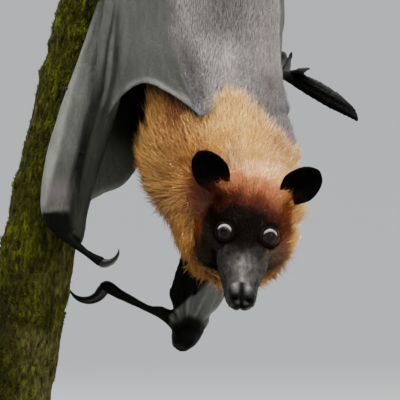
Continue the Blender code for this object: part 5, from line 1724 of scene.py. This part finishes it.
class Claws:
    """The hooked claws of thumbs, toes and index fingers."""

    dark = linear(9, 8, 8)
    painted_glint = linear(150, 142, 130)

    def hook(
        self, flesh: Flesh, base: tuple, along: tuple, curl: tuple, length: float, radius: float,
        bend: float = 100
    ) -> None:
        """Adds one claw that starts along one direction and curls towards another."""
        along = Vector(along).normalized()
        curl = Vector(curl)
        curl = (curl - along * along.dot(curl)).normalized()
        stations = []
        steps = 6
        place = Vector(base)
        for j in range(steps):
            t = j / (steps - 1)
            turn = math.radians(bend) * t
            half = radius * (1 - 0.93 * t**1.3)
            stations.append((*place, half, half * 1.25))
            place = place + (along * math.cos(turn) + curl * math.sin(turn)) * length / (steps - 1)
        flesh.tube(stations, along.cross(curl), 26, 14)

    def finish(self, name: str, flesh: Flesh) -> bpy.types.Object:
        """Makes the claws a piece, with fine growth rings and a painted glint on the underside of the right
        thumb's claw.
        """
        bmesh.ops.recalc_face_normals(flesh.bm, faces=flesh.bm.faces)
        surface = Surface(new_object(name, flesh.bm))
        points = surface.points
        surface.move(points + surface.normals * (soft_noise(points, 0.7, 81) * 0.03)[:, None])
        colour = np.tile(self.dark, (len(points), 1)) * (1.0 + 0.4 * soft_noise(points, 1.1, 82))[:, None]
        # Painted glint: pale on the side of the right thumb's claw that faces down and towards +X.
        facing = surface.normals[:, 0] * 0.5 - surface.normals[:, 2] * 0.8
        rim = ramp(0.2, 0.8, facing) * ramp(-28, -31, points[:, 1])
        surface.paint(blend(colour, self.painted_glint, rim * 0.9))
        return surface.obj

    def build(self, look: bpy.types.Material) -> None:
        """Makes every claw and settles it."""
        single = {
            "thumb_claw_right": ((-18.6, -31.2, 132.9), (0.9, -0.3, -0.1), (0.2, 0, 1), 12.0, 1.7, 108),
            "thumb_claw_left": ((-19.0, 25.0, 119.9), (-0.62, 0, -0.8), (-1.0, 0, 0.9), 19.5, 2.3, 130),
            "index_claw_right": ((-33.0, -16.5, 208.4), (-0.5, -0.2, 1.0), (-1.0, 0, 0.2), 5.5, 0.8),
            "index_claw_left": (
                between(WRIST_L, KNUCKLE_L, 0.62, -6.0, 0, 4.0), (-0.2, 0.3, 1), (-1, 0, 0), 5.5, 0.8
            )
        }
        for node, sizes in single.items():
            flesh = Flesh()
            self.hook(flesh, *sizes)
            settle(self.finish(node.replace("claw", "hook"), flesh), look, "claw_horn", node)
        for side, (_, _, ankle, around) in LEGS.items():
            flesh = Flesh()
            for _, knuckle, end, angle in toes(Vector(ankle), around):
                along = (end - knuckle).normalized()
                inward = perch_place(end.z, angle, 0) - perch_place(end.z, angle, 5)
                self.hook(flesh, end - along * 1.2, along, inward, 9.5, 1.3)
            nodes = [f"claw_{side}_toe_{k}" for k in range(1, 6)]
            settle(self.finish(f"toe_hooks_{side}", flesh), look, "claw_horn", *nodes)


@dataclass
class Branch:
    """The cut length of branch with its bark, moss and sawn ends."""

    foot: float = 50.0
    top: float = 466.0
    line = [
        (50.0, -64.5, 2.0, 20.0), (95.0, -56.5, 2.0, 18.6), (139.0, -47.6, 2.0, 16.6),
        (200.0, -36.2, 6.0, 13.8), (250.0, -26.8, 12.0, 12.4), (300.0, -17.6, 17.0, 12.0),
        (350.0, -8.3, 20.0, 11.6), (433.0, 7.4, 22.0, 11.0), (466.0, 13.6, 23.0, 10.8)
    ]
    bark_brown = linear(70, 64, 20)
    bark_dark = linear(20, 19, 4)
    bark_pale = linear(124, 122, 72)
    moss_lie = Lie(0.0, 1.7, 0.55, 38.0, 0.42, 0.9)
    moss_green = linear(92, 100, 10)
    moss_deep = linear(50, 56, 6)
    wood = linear(190, 158, 112)
    wood_ring = linear(146, 110, 70)

    def build(self) -> Surface:
        """Makes the branch, roughens its bark and paints bark, moss and the sawn ends."""
        flesh = Flesh()
        flesh.tube([(x, y, z, r, r) for z, x, y, r in self.line], (1, 0, 0), 330, 100)
        bm = flesh.bm
        caps = [face for face in bm.faces if len(face.verts) > 4]
        for cap in caps:
            for _ in range(9):
                bmesh.ops.inset_region(bm, faces=[cap], thickness=1.05, use_even_offset=False)
        bmesh.ops.poke(bm, faces=caps)
        bmesh.ops.recalc_face_normals(bm, faces=bm.faces)
        surface = Surface(new_object("mossy_branch", bm))
        points = surface.points
        way = smooth_rows([(x, y, z) for z, x, y, r in self.line], 300)
        centre = way[np.abs(points[:, 2][:, None] - way[None, :, 2]).argmin(axis=1)]
        out = points - centre
        out[:, 2] = 0
        reach = np.linalg.norm(out, axis=1)
        side = ramp(6.0, 9.5, reach)
        lumps = [noise.noise(Vector(p) * 0.045) * 1.5 + noise.noise(Vector(p) * 0.13) * 0.8 for p in points]
        turn = np.arctan2(out[:, 0], -out[:, 1])
        ridged = np.stack([np.sin(turn) * 16, np.cos(turn) * 16, points[:, 2] * 0.28], axis=1)
        fissure = np.abs(soft_noise(ridged, 3.2, 91)) + 0.6 * np.abs(soft_noise(ridged, 1.5, 92))
        crack = 1 - ramp(0.08, 0.42, fissure)
        moss = self.moss(points, turn)
        cushions = ramp(-0.2, 0.8, soft_noise(points, 3.4, 93)) * moss
        shift = np.array(lumps) - crack * 0.9 * (1 - 0.6 * moss) + cushions * 1.0
        shift += soft_noise(points, 0.9, 94) * 0.22 * side
        ends = ramp(0.0, 3.0, points[:, 2] - self.foot) * ramp(0.0, 3.0, self.top - points[:, 2])
        moved = points + unit(out) * (shift * side * np.maximum(ends, 0.15))[:, None]
        moved[:, 2] = np.clip(moved[:, 2], self.foot, self.top)
        capped = reach < 0.93 * np.interp(
            points[:, 2], [row[0] for row in self.line], [row[3] for row in self.line]
        )
        moved[capped, 2] = np.where(points[capped, 2] < 200, self.foot, self.top)
        surface.move(moved)
        fine = soft_noise(ridged, 1.1, 95)
        colour = blend(np.tile(self.bark_brown, (len(points), 1)), self.bark_pale, ramp(0.0, 0.9, fine) * 0.5)
        low = ramp(150, 80, points[:, 2]) * ramp(-0.3, 0.8, np.sin(turn))
        colour = blend(colour, self.bark_pale, low * 0.45)
        green = blend(
            np.tile(self.moss_deep, (len(points), 1)), self.moss_green,
            ramp(-0.4, 0.6, fine + cushions - 0.4)
        )
        colour = blend(colour, green, moss * (0.65 + 0.35 * fine))
        shade = ramp(150, 105, points[:, 2]) * ramp(0.4, -0.5, np.sin(turn))
        colour = blend(colour, self.bark_dark, np.maximum(crack * 0.7, shade * 0.75))
        rings = 0.5 + 0.5 * np.sin(reach * 5.2 + soft_noise(points, 6.0, 96) * 1.6)
        sawn = blend(np.tile(self.wood, (len(points), 1)), self.wood_ring, rings * 0.7)
        colour = blend(colour, sawn, capped.astype(float) * (reach < 0.9 * reach.max()))
        surface.paint(colour)
        return surface

    def moss(self, points: np.ndarray, turn: np.ndarray) -> np.ndarray:
        """How mossy each point of the bark is: most on the weather side, in patches."""
        patch = soft_noise(points, 16.0, 97) * 0.7 + soft_noise(points, 6.0, 98) * 0.4
        weather = 0.35 + 0.35 * np.cos(turn + 0.9)
        return ramp(-0.25, 0.55, patch + weather - 0.25 * ramp(170, 90, points[:, 2]))

    def grow_moss(self, surface: Surface, look: bpy.types.Material) -> None:
        """Grows short moss over the mossy patches."""
        points = surface.points
        way = smooth_rows([(x, y, z) for z, x, y, r in self.line], 300)
        out = points - way[np.abs(points[:, 2][:, None] - way[None, :, 2]).argmin(axis=1)]
        turn = np.arctan2(out[:, 0], -out[:, 1])
        side = ramp(0.5, 0.9, np.linalg.norm(surface.normals[:, :2], axis=1))
        moss = self.moss(points, turn) * side
        moss *= ramp(self.foot, self.foot + 4, points[:, 2]) * ramp(self.top, self.top - 4, points[:, 2])
        lay = np.tile(np.array((0.0, 0.0, 1.0)), (len(points), 1)) + 0.8 * np.stack(
            [soft_noise(points, 2.0, 99 + k) for k in range(3)], axis=1
        )
        green = blend(
            np.tile(self.moss_deep, (len(points), 1)), self.moss_green,
            ramp(-0.5, 0.7, soft_noise(points, 2.2, 103))
        )
        spot = np.stack([turn / math.tau + 0.5, points[:, 2] / 130.0], axis=1)
        coat = Coat(11)
        rows = np.hstack([surface.normals, lay, green, spot])
        places, read = coat.scatter(surface, moss * self.moss_lie.density, rows)
        roots = Roots.alike(places, read, self.moss_lie)
        for piece in coat.pieces("moss", roots, TuftShape(2, 0.6, 0.3)):
            settle(piece, look, "mossy_bark")


def round_off(bm: bmesh.types.BMesh, edges: list, offset: float, segments: int) -> None:
    """Bevels the edges to a round."""
    bmesh.ops.bevel(
        bm, geom=edges, offset=offset, segments=segments, profile=0.5, affect="EDGES", material=-1
    )


@dataclass
class Stand:
    """The flat wooden base and the short steel rod with its collar."""

    width: float = 220.0
    depth: float = 170.0
    height: float = 16.0
    corner: float = 40.0
    bevel: float = 3.0
    rod: float = 6.0
    collar: float = 10.5
    collar_height: float = 3.2
    wood_light = linear(120, 78, 48)
    steel = linear(196, 198, 200)

    def build(self, looks: dict) -> None:
        """Makes base, rod and collar and settles them."""
        bm = bmesh.new()
        bmesh.ops.create_cube(bm, size=1.0)
        bmesh.ops.scale(bm, vec=(self.width, self.depth, self.height), verts=bm.verts)
        bmesh.ops.translate(bm, vec=(0, 0, self.height / 2), verts=bm.verts)
        upright = [e for e in bm.edges if abs(e.verts[0].co.z - e.verts[1].co.z) > 1]
        round_off(bm, upright, self.corner, 24)
        top = [e for e in bm.edges if min(v.co.z for v in e.verts) > self.height - 0.01]
        round_off(bm, top, self.bevel, 6)
        foot = [e for e in bm.edges if max(v.co.z for v in e.verts) < 0.01]
        round_off(bm, foot, 0.8, 2)
        base = new_object("stand_plinth", bm)
        base.data.set_sharp_from_angle(angle=math.radians(30))
        surface = Surface(base)
        surface.paint(np.tile(self.wood_light, (len(surface.points), 1)))
        settle(base, looks["stand_wood"], "stand_wood", "stand_base")
        line = Branch.line[0]
        middle = Vector((line[1], line[2], 0))
        bm = bmesh.new()
        self.turned(bm, middle, self.rod, self.height, Branch.foot + 2.0)
        self.turned(bm, middle, self.collar, self.height, self.height + self.collar_height)
        self.turned(bm, middle, self.collar * 0.86, Branch.foot - 2.6, Branch.foot - 0.1)
        bmesh.ops.recalc_face_normals(bm, faces=bm.faces)
        post = new_object("stand_post", bm)
        post.data.set_sharp_from_angle(angle=math.radians(35))
        surface = Surface(post)
        surface.paint(np.tile(self.steel, (len(surface.points), 1)))
        settle(post, looks["stand_steel"], "stand_steel", "stand_rod")

    def turned(self, bm: bmesh.types.BMesh, middle: Vector, radius: float, low: float, high: float) -> None:
        """Adds a turned cylinder with bevelled rims between two heights."""
        frame = Matrix.Translation((middle.x, middle.y, (low + high) / 2))
        made = bmesh.ops.create_cone(
            bm, cap_ends=True, segments=72, radius1=radius, radius2=radius, depth=high - low, matrix=frame
        )["verts"]
        chosen = set(made)
        rims = [
            e
            for v in made
            for e in v.link_edges
            if e.verts[0] in chosen and abs(e.verts[0].co.z - e.verts[1].co.z) < 1e-4
        ]
        round_off(bm, list(set(rims)), 0.5, 3)


@dataclass(frozen=True)
class Finish:
    """A surface finish: the grain's size in repeats per metre and its stretch, its bump, gloss and softness.

    Surfaces darker than fade lose their gloss.
    """

    name: str
    scale: float
    stretch: tuple = (1.0, 1.0, 1.0)
    detail: float = 4.0
    contrast: float = 0.2
    bump: float = 0.3
    depth: float = 0.0004
    cells: float = 0.0
    roughness: tuple = (0.5, 0.7)
    specular: float = 0.5
    sheen: float = 0.0
    coat: float = 0.0
    metallic: float = 0.0
    fade: float = 0.0


FINISHES = (
    Finish("mantle_fur", 900, (1, 1, 0.4), 3, 0.20, 0.2, 0.0003, 0, (0.60, 0.8), 0.2, 0.08),
    Finish("back_fur", 1100, (1, 1, 0.3), 3, 0.16, 0.2, 0.0003, 0, (0.46, 0.64), 0.35, 0.15),
    Finish("face_fur", 1500, (1, 1, 0.6), 3, 0.20, 0.2, 0.0002, 0, (0.6, 0.8), 0.08, fade=0.03),
    Finish("skin", 700, (1, 1, 1), 6, 0.25, 0.35, 0.0004, 900, (0.46, 0.66), 0.28, fade=0.02),
    Finish("wing_skin", 420, (1, 1, 0.35), 8, 0.13, 0.32, 0.0005, 620, (0.42, 0.6), 0.3, fade=0.06),
    Finish("dark_skin", 800, (1, 1, 1), 6, 0.35, 0.3, 0.0003, 900, (0.6, 0.8), 0.1, fade=0.05),
    Finish("eye", 200, (1, 1, 1), 2, 0.0, 0.0, 0.0001, 0, (0.05, 0.06), 0.09),
    Finish("claw_horn", 900, (1, 1, 1), 3, 0.25, 0.12, 0.0002, 0, (0.32, 0.46), 0.25, 0, 0.05),
    Finish("mossy_bark", 700, (1, 1, 0.4), 8, 0.4, 0.7, 0.0009, 420, (0.8, 0.95), 0.08),
    Finish("stand_wood", 60, (1, 14, 14), 6, 0.45, 0.15, 0.0003, 0, (0.32, 0.48), 0.5, 0, 0.2),
    Finish("stand_steel", 260, (1, 1, 30), 4, 0.08, 0.12, 0.0001, 0, (0.24, 0.38), 0.5, 0, 0, 1.0)
)


class Wiring:
    """Adds nodes to a node tree and links them."""

    def __init__(self, tree: bpy.types.NodeTree) -> None:
        """Takes the tree."""
        self.nodes, self.links = tree.nodes, tree.links

    def add(self, kind: str, operation: str = "", **values: float | tuple) -> bpy.types.Node:
        """A new node, with its operation and its inputs' values; their names have _ for a space."""
        node = self.nodes.new(kind)
        if operation:
            node.operation = operation
        for name, value in values.items():
            node.inputs[name.replace("_", " ")].default_value = value
        return node

    def join(self, *rows: tuple) -> None:
        """Links nodes, by rows of a node, its output, the next node and its input."""
        for start, out, end, into in rows:
            self.links.new(start.outputs[out], end.inputs[into])


def set_values(node: bpy.types.Node, *rows: tuple) -> None:
    """Sets a node's inputs, by rows of a name and a value."""
    for label, value in rows:
        node.inputs[label].default_value = value


class Materials:
    """Builds the materials from the finishes, on one shared grain group and one shared cell group."""

    def __init__(self) -> None:
        """Builds the two groups."""
        self.grain = self.grain_group()
        self.cells = self.cell_group()

    @staticmethod
    def group(name: str, inputs: list, outputs: list) -> bpy.types.NodeTree:
        """A shader node group with those sockets: (name, kind, default)."""
        tree = bpy.data.node_groups.new(name, "ShaderNodeTree")
        for label, kind, default in inputs:
            socket = tree.interface.new_socket(name=label, in_out="INPUT", socket_type=kind)
            if default is not None:
                socket.default_value = default
        for label, kind in outputs:
            tree.interface.new_socket(name=label, in_out="OUTPUT", socket_type=kind)
        return tree

    def grain_group(self) -> bpy.types.NodeTree:
        """Stretched noise that shades a colour and roughens a surface."""
        number, vector = "NodeSocketFloat", "NodeSocketVector"
        inputs = [
            ("Vector", vector, None), ("Stretch", vector, (1, 1, 1)), ("Scale", number, 500.0),
            ("Detail", number, 4.0), ("Contrast", number, 0.2), ("Strength", number, 0.3),
            ("Distance", number, 0.0004), ("Relief", number, 0.0)
        ]
        tree = self.group(
            "fur_and_skin_grain", inputs, [("Mask", number), ("Shade", number), ("Normal", vector)]
        )
        wires = Wiring(tree)
        source, result = wires.add("NodeGroupInput"), wires.add("NodeGroupOutput")
        stretch, grain = wires.add("ShaderNodeVectorMath", "MULTIPLY"), wires.add("ShaderNodeTexNoise")
        centre = wires.add("ShaderNodeMapRange", From_Min=0.28, From_Max=0.72)
        swing, base = wires.add("ShaderNodeMath", "MULTIPLY_ADD"), wires.add("ShaderNodeMath", "SUBTRACT")
        base.inputs[0].default_value = 1.0
        height, bump = wires.add("ShaderNodeMath", "ADD"), wires.add("ShaderNodeBump")
        wires.join(
            (source, "Vector", stretch, 0), (source, "Stretch", stretch, 1), (stretch, 0, grain, "Vector"),
            (source, "Scale", grain, "Scale"), (source, "Detail", grain, "Detail"),
            (grain, "Fac", centre, "Value"), (source, "Contrast", base, 1), (centre, 0, swing, 0),
            (source, "Contrast", swing, 1), (base, 0, swing, 2), (centre, 0, height, 0),
            (source, "Relief", height, 1), (height, 0, bump, "Height"),
            (source, "Strength", bump, "Strength"), (source, "Distance", bump, "Distance"),
            (centre, 0, result, "Mask"), (swing, 0, result, "Shade"), (bump, 0, result, "Normal")
        )
        return tree

    def cell_group(self) -> bpy.types.NodeTree:
        """Small cells with sunken borders, as in fine creased skin or cracked bark."""
        number, vector = "NodeSocketFloat", "NodeSocketVector"
        inputs = [("Vector", vector, None), ("Stretch", vector, (1, 1, 1)), ("Scale", number, 600.0)]
        tree = self.group("fine_cells", inputs, [("Relief", number)])
        wires = Wiring(tree)
        source, result = wires.add("NodeGroupInput"), wires.add("NodeGroupOutput")
        stretch, cells = wires.add("ShaderNodeVectorMath", "MULTIPLY"), wires.add("ShaderNodeTexVoronoi")
        cells.feature = "DISTANCE_TO_EDGE"
        border = wires.add("ShaderNodeMapRange", From_Max=0.12)
        wires.join(
            (source, "Vector", stretch, 0), (source, "Stretch", stretch, 1), (stretch, 0, cells, "Vector"),
            (source, "Scale", cells, "Scale"), (cells, "Distance", border, "Value"),
            (border, 0, result, "Relief")
        )
        return tree

    def make(self, finish: Finish) -> bpy.types.Material:
        """The material of one finish: the piece's own colours, shaded by the grain."""
        made = bpy.data.materials.new(finish.name)
        made.use_nodes = True
        wires = Wiring(made.node_tree)
        shader, place = wires.nodes["Principled BSDF"], wires.add("ShaderNodeTexCoord")
        grain = wires.add("ShaderNodeGroup")
        grain.node_tree = self.grain
        set_values(
            grain, ("Stretch", finish.stretch), ("Scale", finish.scale), ("Detail", finish.detail),
            ("Contrast", finish.contrast * 2), ("Strength", finish.bump), ("Distance", finish.depth)
        )
        wires.join((place, "Object", grain, "Vector"))
        if finish.cells:
            cells = wires.add("ShaderNodeGroup")
            cells.node_tree = self.cells
            set_values(cells, ("Scale", finish.cells), ("Stretch", finish.stretch))
            wires.join((place, "Object", cells, "Vector"), (cells, "Relief", grain, "Relief"))
        tint, shaded = wires.add("ShaderNodeAttribute"), wires.add("ShaderNodeVectorMath", "SCALE")
        tint.attribute_name = TINT
        gloss = wires.add("ShaderNodeMapRange", To_Min=finish.roughness[1], To_Max=finish.roughness[0])
        wires.join(
            (tint, "Color", shaded, 0), (grain, "Shade", shaded, "Scale"), (shaded, 0, shader, "Base Color"),
            (grain, "Mask", gloss, "Value"), (gloss, 0, shader, "Roughness")
        )
        if finish.bump:
            wires.join((grain, "Normal", shader, "Normal"))
        set_values(
            shader, ("Specular IOR Level", finish.specular), ("Sheen Weight", finish.sheen),
            ("Sheen Roughness", 0.45), ("Coat Weight", finish.coat), ("Coat Roughness", 0.03),
            ("Metallic", finish.metallic)
        )
        if finish.fade:
            grey, level = wires.add("ShaderNodeRGBToBW"), wires.add(
                "ShaderNodeMapRange", From_Max=finish.fade
            )
            set_values(level, ("To Min", finish.specular * 0.1), ("To Max", finish.specular))
            wires.join((tint, "Color", grey, 0), (grey, 0, level, "Value"))
            wires.join((level, 0, shader, "Specular IOR Level"))
        return made


@dataclass(frozen=True)
class Lamp:
    """A soft rectangular light: place and aim in millimetres, width and height, power in watts and colour."""

    name: str
    place: tuple
    size: tuple
    power: float
    colour: tuple = (1.0, 1.0, 1.0)
    aim: tuple = (25.0, -15.0, 200.0)
    beam: float = 180.0


class Studio:
    """The pale floor that curves up round the model, the lights and the camera."""

    camera_place = (25.0, -1635.0, 160.6)
    lens = 327.3
    bowl_flat = 2000.0
    bowl_curve = 1400.0
    bowl_top = 2000.0
    bowl_steps = 32
    bowl_turns = 160
    pale = (0.74, 0.745, 0.74, 1.0)
    lamps = (
        Lamp("key", (-40.0, -500.0, 1300.0), (2200.0, 220.0), 33.0, (1.0, 0.985, 0.96)),
        Lamp("fill", (900.0, -1100.0, 520.0), (900.0, 900.0), 7.5, (0.97, 0.985, 1.0)),
        Lamp("rim", (-500.0, 900.0, 900.0), (600.0, 600.0), 6.0),
        Lamp(
            "head", (60.0, -620.0, 700.0), (60.0, 60.0), 0.042, (1.0, 0.985, 0.96), (50.0, -42.0, 172.0),
            7.0
        )
    )

    def bowl(self) -> bpy.types.Object:
        """The floor, which curves up into a pale wall all round."""
        bends = [math.radians(90) * k / self.bowl_steps for k in range(self.bowl_steps + 1)]
        profile = [
            (self.bowl_flat + self.bowl_curve * math.sin(bend), self.bowl_curve * (1 - math.cos(bend)))
            for bend in bends
        ]
        profile.append((self.bowl_flat + self.bowl_curve, self.bowl_top))
        turns = [math.tau * k / self.bowl_turns for k in range(self.bowl_turns)]
        bm = bmesh.new()
        rings = [
            [bm.verts.new((reach * math.cos(turn), reach * math.sin(turn), height)) for turn in turns]
            for reach, height in profile
        ]
        bm.faces.new(rings[0])
        for low, high in zip(rings, rings[1:]):
            for k in range(self.bowl_turns):
                bm.faces.new((low[k], low[k - 1], high[k - 1], high[k]))
        return new_object("floor", bm)

    def wall_look(self) -> bpy.types.Material:
        """A pale matt surface that is seen from inside only."""
        look = bpy.data.materials.new("pale_floor")
        look.use_nodes = True
        wires = Wiring(look.node_tree)
        shader, end = wires.nodes["Principled BSDF"], wires.nodes["Material Output"]
        set_values(shader, ("Base Color", self.pale), ("Roughness", 0.95), ("Specular IOR Level", 0.1))
        side, clear = wires.add("ShaderNodeNewGeometry"), wires.add("ShaderNodeBsdfTransparent")
        mixed = wires.add("ShaderNodeMixShader")
        wires.join(
            (side, "Backfacing", mixed, 0), (shader, 0, mixed, 1), (clear, 0, mixed, 2),
            (mixed, 0, end, "Surface")
        )
        return look

    def build(self) -> None:
        """Lays the floor, hangs the lights and places the camera."""
        floor = self.bowl()
        floor.data.materials.append(self.wall_look())
        for lamp in self.lamps:
            light = bpy.data.lights.new(lamp.name, "AREA")
            light.shape = "RECTANGLE"
            light.size, light.size_y = (side * MM for side in lamp.size)
            light.energy = lamp.power
            light.color = lamp.colour
            light.spread = math.radians(lamp.beam)
            aim = Vector(lamp.aim) - Vector(lamp.place)
            self.hang(light, lamp.place, aim.to_track_quat("-Z", "Y").to_euler())
        bpy.context.scene.world = self.sky()
        camera = bpy.data.cameras.new("camera")
        camera.lens = self.lens
        camera.sensor_width = 36.0
        camera.clip_start, camera.clip_end = 0.05, 50.0
        bpy.context.scene.camera = self.hang(camera, self.camera_place, (math.radians(90), 0, 0))

    @staticmethod
    def hang(data: bpy.types.ID, place: tuple, turn: tuple) -> bpy.types.Object:
        """Puts a light or the camera at a place, turned by three angles."""
        holder = bpy.data.objects.new(data.name, data)
        holder.location = Vector(place) * MM
        holder.rotation_euler = turn
        bpy.context.scene.collection.objects.link(holder)
        return holder

    def sky(self) -> bpy.types.World:
        """A soft light from above, seen directly as the plain pale tone of the backdrop."""
        world = bpy.data.worlds.new("soft_sky")
        world.use_nodes = True
        wires = Wiring(world.node_tree)
        above, end = wires.nodes["Background"], wires.nodes["World Output"]
        above.inputs["Color"].default_value = (0.90, 0.95, 1.0, 1)
        place, split = wires.add("ShaderNodeTexCoord"), wires.add("ShaderNodeSeparateXYZ")
        rise = wires.add("ShaderNodeMapRange", From_Min=-0.1, To_Min=0.14, To_Max=0.98)
        seen, ray = wires.add("ShaderNodeBackground", Color=self.pale), wires.add("ShaderNodeLightPath")
        mixed = wires.add("ShaderNodeMixShader")
        wires.join(
            (place, "Generated", split, 0), (split, "Z", rise, "Value"), (rise, 0, above, "Strength"),
            (ray, "Is Camera Ray", mixed, 0), (above, 0, mixed, 1), (seen, 0, mixed, 2),
            (mixed, 0, end, "Surface")
        )
        return world


def corners(box: tuple) -> list[list[float]]:
    """A box's two corners as plain lists."""
    return [[float(value) for value in corner] for corner in box]


def main() -> None:
    """Loads the frame and dresses every piece."""
    logging.basicConfig(level=logging.INFO, format="%(name)s %(message)s")
    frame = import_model()
    nodes = frame["nodes"]
    Studio().build()
    materials = Materials()
    looks = {finish.name: materials.make(finish) for finish in FINISHES}
    body = BodySkin(nodes, Markings())
    flesh_nodes = [*BodySkin.core, *(name for group in BodySkin.limbs.values() for name in group)]
    settle(body.surface.obj, looks["skin"], "dark_skin", *flesh_nodes)
    right = RightWing()
    right_skin = right.build()
    settle(right_skin.obj, looks["wing_skin"], "wing_skin", *right.nodes)
    right.grow_fur(right_skin, body.markings, looks["back_fur"])
    left = LeftWing()
    left_skin = left.build()
    settle(left_skin.obj, looks["wing_skin"], "wing_skin", *left.nodes)
    for name, side in (("right", 1), ("left", -1)):
        ear = Ear().build(f"ear_skin_{name}", side)
        settle(ear.obj, looks["dark_skin"], "dark_skin", f"ear_{name}")
        settle(Eye().build(f"eyeball_{name}", side), looks["eye"], "eye", f"eye_{name}")
    BodyCoat(body, [right_skin, left_skin]).build(looks)
    for surface, share in ((body.surface, BodyShape.kept), (left_skin, left.kept)):
        surface.thin_out(share)
    Claws().build(looks["claw_horn"])
    branch = Branch()
    bark = branch.build()
    settle(bark.obj, looks["mossy_bark"], "mossy_bark", "perch")
    branch.grow_moss(bark, looks["mossy_bark"])
    Stand().build(looks)


if __name__ == "__main__":
    main()
